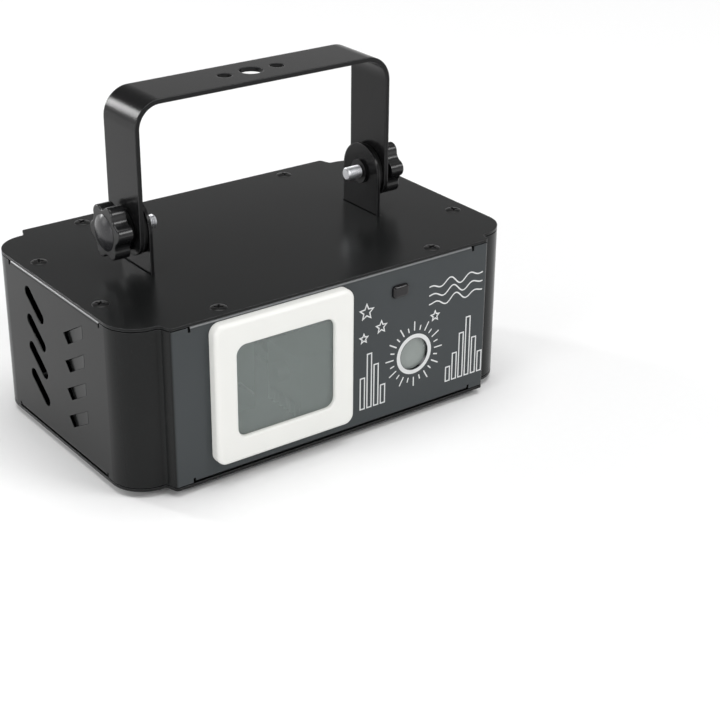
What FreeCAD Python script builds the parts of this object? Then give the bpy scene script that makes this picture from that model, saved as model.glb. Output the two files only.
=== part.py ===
import FreeCAD, Part
import math
import os

# A compact laser show projector: a folded sheet-metal body with a framed window, a second round outlet and
# side vents, hung in a U-shaped yoke that two hand knobs clamp to a pair of ears on the lid. Inside, a laser
# module fires at two scanned mirrors behind the window, and a second laser fires through a turning grating.
# Lengths are in millimetres. +Z is up, the front looks along -Y, and the origin lies on the floor under the
# middle of the body.

V = FreeCAD.Vector
TINY = 1e-6

# Clearances
RUN_GAP = 0.1          # flat pieces that slide on each other
SHAFT_GAP = 0.05       # radial, shafts in their bearings
SEAT_GAP = 0.02        # radial, pieces pushed into holes for good
LOOSE_GAP = 0.3        # radial, pieces that pass through a hole
OPEN_GAP = 0.5         # sheet edges that must not rub

# Front window frame, which sets the height of the body
BEZEL_W = 69.2
BEZEL_H = 63.6
BEZEL_T = 5.0
BEZEL_R = 4.8
BEZEL_ROUND = 2.0
BEZEL_X = -29.65
BEZEL_ABOVE = 7.4      # underside of the body to the frame's lower edge
BEZEL_BELOW = 2.6      # frame's upper edge to the lid's top
WINDOW_SIDE = 10.2     # width of the frame's uprights
WINDOW_RAIL = 10.9     # height of its rails
WINDOW_R = 4.4
WINDOW_ROUND = 1.0
LIP_T = 1.5            # the frame's spigot through the panel
GLASS_LAP = 2.0
GLASS_T = 2.5
GLASS_SET = 2.0        # frame's face to the pane's face

# Folded body
BODY_W = 200.0
BODY_H = BEZEL_ABOVE + BEZEL_H + BEZEL_BELOW
CORNER_DEPTH = 117.0   # front to back over the rounded corners
CORNER_R = 15.0
PANEL_STEP = 5.8       # front and rear panels stand proud by this
STEP_RUN = 2.0
STEP_BEND_R = 1.6
STEP_FLAT = 1.5        # straight stub between a corner and the step
SHEET = 1.2
EDGE_GAP = 0.5         # cut edge of the wall to the plates, round the corners
FLANGE_BEND_R = 2.0
FLANGE_REACH_SIDE = 14.0
FLANGE_REACH_FRONT = 12.0
FLANGE_END_SIDE = 4.5  # end of a side flange to the corner's arc
FLANGE_END_FRONT = 9.0
RELIEF_W = 1.2
RELIEF_EXTRA = 0.6     # relief notch beyond the bend

# Plate screws and feet
SCREW_D = 3.5
SCREW_HEAD_D = 7.3
SCREW_DOME = 0.7
SCREW_LENGTH = 6.0
SCREW_INSET_SIDE = 8.0
SCREW_INSET_FRONT = 6.8
SCREW_END_SIDE = 12.0  # screw to the end of its flange
SCREW_END_FRONT = 17.5
FOOT_D = 14.0
FOOT_H = 3.0
FOOT_INSET_X = 28.0
FOOT_INSET_Y = 17.0
FOOT_CHAMFER = 0.8

# Side vents
VENT_COUNT = 4
VENT_PITCH = 13.0
VENT_LOW = 19.8        # lowest slot's middle above the underside
SLOT_Y = 18.0
SLOT_LENGTH = 19.0
SLOT_W = 5.4
SLOT_ANGLE = 39.0
LOUVRE_FRONT = -25.4   # flush front edge
LOUVRE_RISE = 6.8      # its upper end above the slot's middle
LOUVRE_H = 6.2
LOUVRE_SLANT = 29.2
LOUVRE_LENGTH_TOP = 20.1
LOUVRE_LENGTH_LOW = 15.9
LOUVRE_DEPTH = 3.2
LOUVRE_DIP = 1.1       # depth after the short dip behind the flush edge
LOUVRE_DIP_RUN = 3.0
VENT_RAKE = 1.5        # lean of the cut edges, per depth into the wall

# Yoke, ears and clamps
YOKE_W = 26.0
YOKE_SHEET = 2.0
YOKE_INSIDE = 125.0
YOKE_RISE = 57.0       # pivot to the top of the bar
LEG_BELOW = 10.5       # pivot to the ends of the legs
LEG_END_R = 8.0
YOKE_BEND_R = 12.0
YOKE_HOLE_D = 10.5
YOKE_SIDE_HOLE_D = 6.5
YOKE_HOLE_PITCH = 13.3
PIVOT_RISE = 18.0      # lid's top to the pivot
EAR_SHEET = 1.5
EAR_FOOT = 14.0
EAR_BEND_R = 0.4
NUT_SHANK_D = 9.0
NUT_FLANGE_D = 11.0
NUT_FLANGE_T = 1.2
FRICTION_D = 24.0
FRICTION_T = 2.2
CLAMP_WASHER_D = 17.0
CLAMP_WASHER_T = 1.2
STUD_D = 6.0
STUD_PROUD = 8.3       # beyond the ear's inner face
STUD_CHAMFER = 0.6
KNOB_R = 12.5
KNOB_T = 7.0
KNOB_LOBES = 6
KNOB_TURN = -7.0       # degrees, first lobe from the rear
LOBE_R = 3.8
SCALLOP_R = 3.8
KNOB_EDGE_R = 0.7
HUB_D = 14.0
HUB_T = 1.4
CAP_D = 16.2
CAP_RISE = 2.6
CAP_BACK = 2.0         # knob left between stud and cap

# Scanner behind the window
SCAN_BACK = 34.0       # beam plane behind the front panel
MIRROR_LOW = 21.0      # lower mirror above the body's underside
MIRROR_LIFT = 22.0     # upper mirror above the lower one
MIRROR_T = 1.0
MIRROR_TILT = -45.0    # turn on its own axis at rest
MIRROR_W = 10.0
MIRROR_LENGTH = 13.0
MOTOR_D = 16.0
MOTOR_L = 14.0
MOTOR_BOSS_D = 6.0
SHAFT_D = 2.0
SHAFT_DEEP = 10.0
SHAFT_END_GAP = 0.5
HOLDER_D = 5.0
HOLDER_L = 6.0
HOLDER_BITE = 3.0      # mirror's length inside its holder
BRACKET_T = 3.0
BRACKET_RIM = 6.0      # bracket wall beyond a motor
BRACKET_FOOT = 18.0

# Main laser and its heat sink
LASER_L = 34.0
LASER_W = 26.0
LASER_H = 20.0
LASER_NOSE_D = 9.0
LASER_NOSE_L = 6.0
LASER_OFF = 23.65      # mirror to the laser block
LASER_EDGE = 1.0
FIN_COUNT = 7
FIN_T = 1.4

# Second outlet
OUTLET_D = 15.0
OUTLET_LAP = 2.0
OUTLET_T = 2.0
OUTLET_ABOVE = 28.5    # above the underside
CLAMP_GAP = 5.0        # laser block to the clamp
CLAMP_W = 16.0
CLAMP_D = 12.0
BARREL_D = 10.0
BARREL_FRONT = 4.0     # barrel beyond the clamp's front
BARREL_L = 30.0
GRATING_D = 30.0
GRATING_T = 1.5
GRATING_LIFT = 11.5    # wheel's axis above the beam
GRATING_GAP = 2.0      # wheel to the motor's face
GRATING_CLEAR = 1.0    # wheel behind the sensor's receiver
GRATING_HUB_D = 6.0
CLAMP_RIM = 3.0

# Remote-control sensor
SENSOR_W = 8.4
SENSOR_H = 5.7
SENSOR_R = 1.5
SENSOR_ROUND = 1.2
SENSOR_PROUD = 1.6
SENSOR_LAP = 1.5
SENSOR_FLANGE_T = 1.5
SENSOR_OFF = 8.6       # left of the round outlet
SENSOR_BELOW = 12.4    # below the lid's top
RECEIVER_T = 4.0

# Rear panel
REAR_GAP = 4.0         # display, buttons and microphone to each other
FAN_SIZE = 40.0
FAN_T = 10.5
FAN_BORE_RIM = 1.2     # frame left round the bore
FAN_HOLE_D = 3.4
FAN_HOLE_INSET = 4.0
FAN_CORNER_R = 3.0
FAN_ABOVE = 36.8
FAN_HUB_D = 17.0
FAN_BLADES = 7
FAN_BLADE_T = 1.0
FAN_BLADE_ANGLE = 40.0
FAN_TIP_GAP = 0.6
FAN_PLATE_T = 1.5
FAN_STRUT_W = 2.6
FAN_BEARING_D = 6.0
GUARD_H = 5.0
GUARD_T = 1.2
GUARD_BAR = 1.6
GUARD_RINGS = 3
GUARD_EYE_D = 7.0
XLR_W = 26.0
XLR_H = 31.0
XLR_FLANGE_T = 2.2
XLR_R = 3.0
XLR_BARREL_D = 23.6
XLR_DEEP = 20.0
XLR_CUP_D = 18.6
XLR_CUP_DEEP = 15.0
XLR_CORE_D = 15.4
XLR_PIN_D = 2.4
XLR_PIN_R = 4.8
XLR_PIN_SET_BACK = 5.2
XLR_ABOVE = 22.0
XLR_SCREW_INSET = 3.2
INLET_W = 22.5
INLET_FLANGE_T = 3.0
INLET_R = 5.0
INLET_BODY_W = 20.0
INLET_BODY_H = 27.5
INLET_DEEP = 19.0
INLET_CUP_W = 15.5
INLET_CUP_H = 24.0
INLET_CUP_DEEP = 17.0
INLET_CUP_CHAMFER = 4.0
INLET_EDGE = 3.5       # flange's lower end above the underside
INLET_PIN_W = 2.0
INLET_PIN_H = 4.0
INLET_PIN_SPREAD = 7.0
INLET_PIN_SIDE = 3.0
INLET_PIN_SET_BACK = 5.2
INLET_SCREW_PITCH = 40.0
INLET_SCREW_END = 5.0  # screw to the end of the flange
PANEL_SCREW_D = 3.0
PANEL_SCREW_HEAD_D = 5.4
PANEL_SCREW_HEAD_T = 1.8
SOCKET_SCREW_LENGTH = 6.0
DISPLAY_W = 26.0
DISPLAY_H = 11.0
DISPLAY_LAP = 1.5
DISPLAY_WINDOW_T = 1.0
DISPLAY_MODULE_LAP = 1.0
DISPLAY_BELOW = 17.0   # middle below the lid's top
BUTTON_D = 5.0
BUTTON_PROUD = 1.5
BUTTON_PITCH = 7.0
BUTTON_COUNT = 4
BUTTON_FLANGE_D = 6.8
BUTTON_FLANGE_T = 1.2
BUTTON_STEM_D = 3.0
BUTTON_REST_GAP = 0.8  # stem to the switch, more than the button's travel
SWITCH_SIZE = 6.0
SWITCH_T = 4.0
BOARD_T = 1.6
BOARD_BEHIND = 9.0     # board's face behind the rear panel
BOARD_EDGE = 4.0
BOARD_POST_D = 4.0
BOARD_POST_INSET = 2.0
MIC_D = 6.0
MIC_HOLE_D = 2.5

# Power supply on the base
SUPPLY_W = 74.0
SUPPLY_D = 40.0
SUPPLY_SIDE = 5.0      # board to the flange of the side wall
SUPPLY_Y = 9.0
SUPPLY_POST_H = 6.0
SUPPLY_POST_D = 6.0
SUPPLY_POST_INSET = 4.0
TRANSFORMER = (24.0, 20.0, 18.0)
SUPPLY_CAN_D = 14.0
SUPPLY_CAN_H = 22.0
SUPPLY_FIN = (30.0, 3.0, 20.0)
TERMINAL = (16.0, 9.0, 10.0)
SUPPLY_PART_GAP = 5.0

# Levels and planes worked out from the sizes above
UNDERSIDE = FOOT_H
FLOOR = UNDERSIDE + SHEET                    # upper face of the base plate
LID_TOP = UNDERSIDE + BODY_H
LID_UNDER = LID_TOP - SHEET
HALF_W = BODY_W / 2
CORNER_Y = CORNER_DEPTH / 2
PANEL_Y = CORNER_Y + PANEL_STEP              # outer faces of front and rear panels
PANEL_IN = PANEL_Y - SHEET
SEAM_X = HALF_W - CORNER_R                   # rear panel meets the side walls here
PANEL_HALF_W = SEAM_X - STEP_FLAT - STEP_RUN
SIDE_FLANGE_HALF = CORNER_Y - CORNER_R - FLANGE_END_SIDE
FRONT_FLANGE_HALF = PANEL_HALF_W - FLANGE_END_FRONT
RELIEF_DEPTH = FLANGE_BEND_R + RELIEF_EXTRA

PIVOT_Z = LID_TOP + PIVOT_RISE
LEG_IN = YOKE_INSIDE / 2
LEG_OUT = LEG_IN + YOKE_SHEET
EAR_OUT = LEG_IN - FRICTION_T - 2 * RUN_GAP
EAR_IN = EAR_OUT - EAR_SHEET
CLAMP_WASHER_X = LEG_OUT + RUN_GAP
HUB_X = CLAMP_WASHER_X + CLAMP_WASHER_T + RUN_GAP
KNOB_X = HUB_X + HUB_T
CAP_X = KNOB_X + KNOB_T

BEZEL_Z = UNDERSIDE + BEZEL_ABOVE + BEZEL_H / 2
WINDOW_W = BEZEL_W - 2 * WINDOW_SIDE
WINDOW_H = BEZEL_H - 2 * WINDOW_RAIL

SCAN_Y = -PANEL_Y + SCAN_BACK
LOW_Z = UNDERSIDE + MIRROR_LOW
HIGH_Z = LOW_Z + MIRROR_LIFT
SCAN_REACH = MIRROR_LENGTH / 2 + HOLDER_L - HOLDER_BITE  # mirror's middle to the motor bracket's near side
LASER_X = BEZEL_X + LASER_OFF
OUTLET_X = LASER_X + LASER_L + CLAMP_GAP + CLAMP_W / 2
OUTLET_Z = UNDERSIDE + OUTLET_ABOVE
GRATING_Z = OUTLET_Z + GRATING_LIFT
RECEIVER_BACK = -PANEL_IN + SENSOR_FLANGE_T + RECEIVER_T
CLAMP_FRONT = RECEIVER_BACK + GRATING_CLEAR + GRATING_T + GRATING_GAP + BARREL_FRONT
SENSOR_X = OUTLET_X - SENSOR_OFF
SENSOR_Z = LID_TOP - SENSOR_BELOW

REAR_ROW = [FAN_SIZE, XLR_W, XLR_W, INLET_W]
REAR_ROOM = (2 * PANEL_HALF_W - sum(REAR_ROW)) / (len(REAR_ROW) + 1)  # even gaps along the row
FAN_X = -PANEL_HALF_W + REAR_ROOM + FAN_SIZE / 2
FAN_Z = UNDERSIDE + FAN_ABOVE
FAN_BORE_R = FAN_SIZE / 2 - FAN_BORE_RIM
FAN_HOLE_OFF = FAN_SIZE / 2 - FAN_HOLE_INSET
DMX_IN_X = FAN_X + FAN_SIZE / 2 + REAR_ROOM + XLR_W / 2
DMX_OUT_X = DMX_IN_X + XLR_W + REAR_ROOM
XLR_Z = UNDERSIDE + XLR_ABOVE
INLET_X = DMX_OUT_X + XLR_W / 2 + REAR_ROOM + INLET_W / 2
INLET_H = INLET_SCREW_PITCH + 2 * INLET_SCREW_END
INLET_Z = UNDERSIDE + INLET_EDGE + INLET_H / 2
DISPLAY_X = FAN_X + FAN_SIZE / 2 + REAR_GAP + BOARD_EDGE + DISPLAY_W / 2
DISPLAY_Z = LID_TOP - DISPLAY_BELOW
BUTTON_X = DISPLAY_X + DISPLAY_W / 2 + REAR_GAP + BUTTON_D / 2
BUTTONS_X = [BUTTON_X + index * BUTTON_PITCH for index in range(BUTTON_COUNT)]
MIC_X = BUTTONS_X[-1] + BUTTON_D / 2 + REAR_GAP + MIC_D / 2
BOARD_Y = PANEL_IN - BOARD_BEHIND            # board's face towards the rear panel
BOARD_LEFT = DISPLAY_X - DISPLAY_W / 2 - DISPLAY_MODULE_LAP - BOARD_EDGE
BOARD_RIGHT = MIC_X + MIC_D / 2 + BOARD_EDGE
BOARD_H = DISPLAY_H + 2 * (DISPLAY_MODULE_LAP + BOARD_EDGE)
SUPPLY_X = HALF_W - FLANGE_REACH_SIDE - SUPPLY_SIDE - SUPPLY_W / 2
SUPPLY_Z = FLOOR + SUPPLY_POST_H             # underside of the supply board


def box(x, y, z):
    """Box between a low and a high value along each axis."""
    return Part.makeBox(x[1] - x[0], y[1] - y[0], z[1] - z[0], V(x[0], y[0], z[0]))


def rod(radius, start, end):
    """Round bar between two points."""
    return Part.makeCylinder(radius, (end - start).Length, start, end - start)


def bar(radius, x, z, near, far):
    """Round bar along Y between two Y planes."""
    return rod(radius, V(x, near, z), V(x, far, z))


def ring(outer, inner, start, end):
    """Round bar with a bore right through it."""
    return rod(outer, start, end).cut(rod(inner, start, end))


def rounded_wire(points, radii):
    """Closed flat outline with an arc of its own radius at each corner."""
    corners = []
    for index, here in enumerate(points):
        if radii[index] < TINY:
            corners.append((here, here, here))
            continue
        back = (points[index - 1] - here).normalize()
        ahead = (points[(index + 1) % len(points)] - here).normalize()
        half = back.getAngle(ahead) / 2
        reach = radii[index] / math.tan(half)
        inward = (back + ahead).normalize()
        crest = here + inward * (radii[index] / math.sin(half) - radii[index])
        corners.append((here + back * reach, crest, here + ahead * reach))
    edges = []
    for index, (start, crest, end) in enumerate(corners):
        following = corners[(index + 1) % len(corners)][0]
        if start.distanceToPoint(end) > TINY:
            edges.append(Part.Arc(start, crest, end).toShape())
        if end.distanceToPoint(following) > TINY:
            edges.append(Part.LineSegment(end, following).toShape())
    return Part.Wire(edges)


def slab(points, radii, push):
    """Solid pushed out of a flat outline with rounded corners."""
    return Part.Face(rounded_wire(points, radii)).extrude(push)


def upright(x, z, width, height, radius, near, far):
    """Upright rounded plate, facing along Y, between two Y planes."""
    left, right = x - width / 2, x + width / 2
    low, high = z - height / 2, z + height / 2
    points = [V(left, near, low), V(right, near, low), V(right, near, high), V(left, near, high)]
    return slab(points, [radius] * 4, V(0, far - near, 0))


def mirrored(shape):
    """The same piece on the other side of the body."""
    return shape.mirror(V(0, 0, 0), V(1, 0, 0))


def body_outline(z):
    """Plan outline of the body: rounded corners, with a step out to the front and rear panels."""
    quarter = [(PANEL_HALF_W, PANEL_Y, STEP_BEND_R),
               (PANEL_HALF_W + STEP_RUN, CORNER_Y, STEP_BEND_R),
               (HALF_W, CORNER_Y, CORNER_R)]
    points, radii = [], []
    for side, end in ((1, -1), (1, 1), (-1, 1), (-1, -1)):
        run = quarter if side * end < 0 else quarter[::-1]
        points += [V(side * x, end * y, z) for x, y, _ in run]
        radii += [radius for _, _, radius in run]
    return rounded_wire(points, radii)


def body_slab(low, high):
    """The body's whole outline between two levels."""
    return Part.Face(body_outline(low)).extrude(V(0, 0, high - low))


def screw_places():
    """Plan positions of the screws that hold the lid and the base to the flanges."""
    side_x, side_y = HALF_W - SCREW_INSET_SIDE, SIDE_FLANGE_HALF - SCREW_END_SIDE
    front_x, front_y = FRONT_FLANGE_HALF - SCREW_END_FRONT, PANEL_Y - SCREW_INSET_FRONT
    places = []
    for x, y in ((side_x, side_y), (front_x, front_y)):
        places += [(x, y), (-x, y), (x, -y), (-x, -y)]
    return places


def plate_screw(grow):
    """Raised countersunk screw in a sheet, pointing down, the rim of its head at the origin's level."""
    shank = SCREW_D / 2 + grow
    rim = SCREW_HEAD_D / 2 + grow
    ball = (rim ** 2 + SCREW_DOME ** 2) / (2 * SCREW_DOME)
    disc = rod(rim, V(0, 0, 0), V(0, 0, SCREW_DOME))
    dome = Part.makeSphere(ball, V(0, 0, SCREW_DOME - ball)).common(disc)
    head = Part.makeCone(rim, shank, SHEET, V(0, 0, 0), V(0, 0, -1))
    return dome.fuse([head, rod(shank, V(0, 0, -SHEET), V(0, 0, -SCREW_LENGTH))]).removeSplitter()


def lid_screws(grow):
    """Screws in the lid, or their holes when grown."""
    return [plate_screw(grow).translate(V(x, y, LID_TOP)) for x, y in screw_places()]


def floor_screws(grow):
    """Screws in the base plate, pointing up, or their holes when grown."""
    turned = plate_screw(grow).mirror(V(0, 0, 0), V(0, 0, 1))
    return [turned.copy().translate(V(x, y, UNDERSIDE)) for x, y in screw_places()]


def flange_pair(half, reach, turn, place):
    """Folded flanges along one wall, and the notched strips that they take out of its edges."""
    folds, strips = [], []
    for edge, up in ((LID_UNDER, 1), (FLOOR, -1)):
        root = edge - up * RELIEF_DEPTH
        inner = edge - up * SHEET
        profile = [V(0, -half, root), V(0, -half, edge), V(reach, -half, edge),
                   V(reach, -half, inner), V(SHEET, -half, inner), V(SHEET, -half, root)]
        fold = slab(profile, [0, FLANGE_BEND_R, 0, 0, FLANGE_BEND_R - SHEET, 0], V(0, 2 * half, 0))
        levels = sorted((root, edge))
        strip = box((-SHEET, 2 * SHEET), (-half - RELIEF_W, half + RELIEF_W), levels)
        folds.append(fold)
        strips.append(strip)
    for shape in folds + strips:
        shape.rotate(V(0, 0, 0), V(0, 0, 1), turn)
        shape.translate(place)
    return folds, strips


def vent_slot(middle):
    """Straight diagonal slot through the left wall, its long edges leaning down and rearward."""
    angle = math.radians(SLOT_ANGLE)
    along = V(0, math.cos(angle), math.sin(angle))
    upward = V(0, -math.sin(angle), math.cos(angle))
    across = upward * (SLOT_W / 2)
    lean = V(SHEET, 0, 0) - upward * (VENT_RAKE * SHEET)
    start = V(-HALF_W, SLOT_Y, middle) - lean
    half = along * (SLOT_LENGTH / 2 - SLOT_W / 2)
    tip = along * (SLOT_LENGTH / 2)
    edges = [Part.LineSegment(start - half + across, start + half + across),
             Part.Arc(start + half + across, start + tip, start + half - across),
             Part.LineSegment(start + half - across, start - half - across),
             Part.Arc(start - half - across, start - tip, start - half + across)]
    return Part.Face(Part.Wire([edge.toShape() for edge in edges])).extrude(lean * 3)


def louvre_band(middle, grow, rake):
    """Slanted band of the left wall that a louvre covers, as a block that may lean rearward."""
    angle = math.radians(LOUVRE_SLANT)
    back = V(0, math.cos(angle), -math.sin(angle))
    rise = grow / math.cos(angle)
    top = V(-HALF_W, LOUVRE_FRONT, middle + LOUVRE_RISE + rise)
    low = V(-HALF_W, LOUVRE_FRONT, middle + LOUVRE_RISE - LOUVRE_H - rise)
    points = [low, low + back * LOUVRE_LENGTH_LOW, top + back * LOUVRE_LENGTH_TOP, top]
    depth = LOUVRE_DEPTH + 2 * SHEET
    return slab(points, [0] * 4, V(depth, 0, 0) + back * (depth * rake))


def louvre_ramp(depth):
    """Space under the left wall's face: a short dip behind the flush edge, then a gentle slope."""
    rear = LOUVRE_FRONT + LOUVRE_LENGTH_TOP + VENT_RAKE * LOUVRE_DEPTH
    dip = LOUVRE_FRONT + LOUVRE_DIP_RUN
    corners = [(0, LOUVRE_FRONT), (0, rear), (LOUVRE_DEPTH + depth, rear), (LOUVRE_DIP + depth, dip)]
    if depth > TINY:
        corners.append((depth, LOUVRE_FRONT))
    points = [V(-HALF_W + inward, y, UNDERSIDE) for inward, y in corners]
    return slab(points, [0] * len(points), V(0, 0, BODY_H))


def vented(shell):
    """Both side walls with their rows of slots and pressed-in louvres."""
    for index in range(VENT_COUNT):
        middle = UNDERSIDE + VENT_LOW + index * VENT_PITCH
        pressed = louvre_band(middle, SHEET, 0).common(louvre_ramp(SHEET))
        hollow = louvre_band(middle, 0, VENT_RAKE).common(louvre_ramp(0))
        slot = vent_slot(middle)
        for place in (lambda shape: shape, mirrored):
            shell = shell.fuse(place(pressed)).cut(place(hollow)).cut(place(slot))
    return shell


def wall_band():
    """Closed wall of the body, without its cut-outs, with folded flanges at its upper and lower edges."""
    low, high = FLOOR + EDGE_GAP, LID_UNDER - EDGE_GAP
    inside = body_outline(low).makeOffset2D(-SHEET)
    band = body_slab(low, high).cut(Part.Face(inside).extrude(V(0, 0, high - low)))
    walls = [(SIDE_FLANGE_HALF, FLANGE_REACH_SIDE, 0, V(-HALF_W, 0, 0)),
             (SIDE_FLANGE_HALF, FLANGE_REACH_SIDE, 180, V(HALF_W, 0, 0)),
             (FRONT_FLANGE_HALF, FLANGE_REACH_FRONT, 90, V(0, -PANEL_Y, 0)),
             (FRONT_FLANGE_HALF, FLANGE_REACH_FRONT, -90, V(0, PANEL_Y, 0))]
    for half, reach, turn, place in walls:
        folds, strips = flange_pair(half, reach, turn, place)
        band = band.cut(strips).fuse(folds)
    return band.cut(lid_screws(SEAT_GAP)).cut(floor_screws(SEAT_GAP)).removeSplitter()


def rear_half():
    """Space that the rear panel takes of the wall."""
    return box((-SEAM_X, SEAM_X), (0, 2 * PANEL_Y), (0, LID_TOP))


def front_shell(band):
    """Front panel and both side walls in one bent sheet."""
    shell = vented(band.cut(rear_half()))
    through = (-PANEL_Y - SHEET, -PANEL_IN + SHEET)
    window = window_slab(GLASS_LAP + LIP_T + SEAT_GAP, *through)
    sensor = upright(SENSOR_X, SENSOR_Z, SENSOR_W + 2 * SEAT_GAP, SENSOR_H + 2 * SEAT_GAP, SENSOR_R, *through)
    outlet = bar(OUTLET_D / 2, OUTLET_X, OUTLET_Z, through[0], through[1])
    return shell.cut([window, sensor, outlet]).removeSplitter()


def rear_panel(band):
    """Rear panel with its cut-outs for sockets, display, buttons and fan."""
    panel = band.common(rear_half())
    near, far = PANEL_IN - SHEET, PANEL_Y + SHEET
    loose = 2 * LOOSE_GAP
    cuts = [bar(FAN_BORE_R, FAN_X, FAN_Z, near, far),
            upright(DISPLAY_X, DISPLAY_Z, DISPLAY_W, DISPLAY_H, DISPLAY_LAP, near, far),
            upright(INLET_X, INLET_Z, INLET_BODY_W + loose, INLET_BODY_H + loose, 0, near, far),
            bar(MIC_HOLE_D / 2, MIC_X, DISPLAY_Z, near, far)]
    for x in (DMX_IN_X, DMX_OUT_X):
        cuts.append(bar(XLR_BARREL_D / 2 + LOOSE_GAP, x, XLR_Z, near, far))
    for x in BUTTONS_X:
        cuts.append(bar(BUTTON_D / 2 + LOOSE_GAP, x, DISPLAY_Z, near, far))
    for x, z in fan_holes():
        cuts.append(bar(FAN_HOLE_D / 2, x, z, near, far))
    for x, z in socket_holes():
        cuts.append(bar(PANEL_SCREW_D / 2 + SEAT_GAP, x, z, near, far))
    return panel.cut(cuts).removeSplitter()


def ear_slots():
    """Slots in the lid that the ears stand through."""
    half = YOKE_W / 2 + OPEN_GAP
    slot = box((EAR_IN - OPEN_GAP, EAR_OUT + OPEN_GAP), (-half, half), (LID_UNDER - SHEET, LID_TOP + SHEET))
    return [slot, mirrored(slot)]


def top_plate():
    """Lid with countersunk screw holes and a slot for each ear."""
    return body_slab(LID_UNDER, LID_TOP).cut(lid_screws(SEAT_GAP) + ear_slots())


def base_plate():
    """Flat floor of the body with countersunk screw holes."""
    return body_slab(UNDERSIDE, FLOOR).cut(floor_screws(SEAT_GAP))


def rubber_feet():
    """Four low feet with a bevelled lower edge."""
    x, y = HALF_W - FOOT_INSET_X, CORNER_Y - FOOT_INSET_Y
    feet = []
    for place in (V(x, y, 0), V(-x, y, 0), V(x, -y, 0), V(-x, -y, 0)):
        bevel = Part.makeCone(FOOT_D / 2 - FOOT_CHAMFER, FOOT_D / 2, FOOT_CHAMFER)
        pad = rod(FOOT_D / 2, V(0, 0, FOOT_CHAMFER), V(0, 0, FOOT_H))
        feet.append(bevel.fuse(pad).removeSplitter().translate(place))
    return Part.makeCompound(feet)


def strip_end(low, high, low_r, high_r):
    """Side view of a strip as wide as the yoke, with rounded ends, as a block across the body."""
    half = YOKE_W / 2
    radii = [low_r, low_r, high_r, high_r]
    points = [V(-HALF_W, -half, low), V(-HALF_W, half, low), V(-HALF_W, half, high), V(-HALF_W, -half, high)]
    return slab(points, radii, V(BODY_W, 0, 0))


def right_ear():
    """Tab that stands through the lid, with a foot folded inward under it."""
    foot = LID_UNDER - EAR_SHEET
    top = PIVOT_Z + YOKE_W / 2
    side = YOKE_W / 2
    profile = [V(EAR_OUT, -side, foot), V(EAR_OUT, -side, top), V(EAR_IN, -side, top),
               V(EAR_IN, -side, LID_UNDER), V(EAR_OUT - EAR_FOOT, -side, LID_UNDER),
               V(EAR_OUT - EAR_FOOT, -side, foot)]
    radii = [EAR_BEND_R + EAR_SHEET, 0, 0, EAR_BEND_R, 0, 0]
    folded = slab(profile, radii, V(0, YOKE_W, 0)).common(strip_end(foot, top, 0, side))
    return folded.cut(rod(NUT_SHANK_D / 2 + SEAT_GAP, V(0, 0, PIVOT_Z), V(HALF_W, 0, PIVOT_Z)))


def right_ear_nut():
    """Threaded insert pressed into the ear from inside."""
    flange = rod(NUT_FLANGE_D / 2, V(EAR_IN - NUT_FLANGE_T, 0, PIVOT_Z), V(EAR_IN, 0, PIVOT_Z))
    shank = rod(NUT_SHANK_D / 2, V(EAR_IN, 0, PIVOT_Z), V(EAR_OUT, 0, PIVOT_Z))
    return flange.fuse(shank).cut(rod(STUD_D / 2 + SHAFT_GAP, V(0, 0, PIVOT_Z), V(HALF_W, 0, PIVOT_Z)))


def washer(diameter, start, thickness):
    """Flat washer on the pivot axis, loose on the stud."""
    return ring(diameter / 2, STUD_D / 2 + LOOSE_GAP, V(start, 0, PIVOT_Z), V(start + thickness, 0, PIVOT_Z))


def yoke():
    """U-shaped strip with rounded leg ends, pivot holes and three holes in its bar."""
    low, high, side = PIVOT_Z - LEG_BELOW, PIVOT_Z + YOKE_RISE, YOKE_W / 2
    inner = high - YOKE_SHEET
    corners = [(-LEG_OUT, low), (-LEG_OUT, high), (LEG_OUT, high), (LEG_OUT, low),
               (LEG_IN, low), (LEG_IN, inner), (-LEG_IN, inner), (-LEG_IN, low)]
    profile = [V(x, -side, z) for x, z in corners]
    tight = YOKE_BEND_R - YOKE_SHEET
    strip = slab(profile, [0, YOKE_BEND_R, YOKE_BEND_R, 0, 0, tight, tight, 0], V(0, YOKE_W, 0))
    holes = [rod(STUD_D / 2 + LOOSE_GAP, V(-HALF_W, 0, PIVOT_Z), V(HALF_W, 0, PIVOT_Z))]
    sizes = {0: YOKE_HOLE_D, -YOKE_HOLE_PITCH: YOKE_SIDE_HOLE_D, YOKE_HOLE_PITCH: YOKE_SIDE_HOLE_D}
    for x, diameter in sizes.items():
        holes.append(rod(diameter / 2, V(x, 0, inner - YOKE_SHEET), V(x, 0, high + YOKE_SHEET)))
    return strip.common(strip_end(low, high, LEG_END_R, 0)).cut(holes)


def lobed_outline(x):
    """Hand knob's outline across the pivot axis: lobes and scallops that run into each other."""
    lobe = KNOB_R - LOBE_R
    half = math.pi / KNOB_LOBES
    reach = LOBE_R + SCALLOP_R
    scallop = lobe * math.cos(half) + math.sqrt(reach ** 2 - (lobe * math.sin(half)) ** 2)

    def spoke(radius, angle):
        return V(x, radius * math.cos(angle), PIVOT_Z + radius * math.sin(angle))

    edges = []
    for index in range(KNOB_LOBES):
        angle = 2 * half * index + math.radians(KNOB_TURN)
        middle = spoke(lobe, angle)
        valleys = [spoke(scallop, angle - half), spoke(scallop, angle + half)]
        start, end = [middle + (valley - middle) * (LOBE_R / reach) for valley in valleys]
        following = spoke(lobe, angle + 2 * half)
        landing = following + (valleys[1] - following) * (LOBE_R / reach)
        edges.append(Part.Arc(start, spoke(KNOB_R, angle), end).toShape())
        edges.append(Part.Arc(end, spoke(scallop - SCALLOP_R, angle + half), landing).toShape())
    return Part.Wire(edges)


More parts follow.
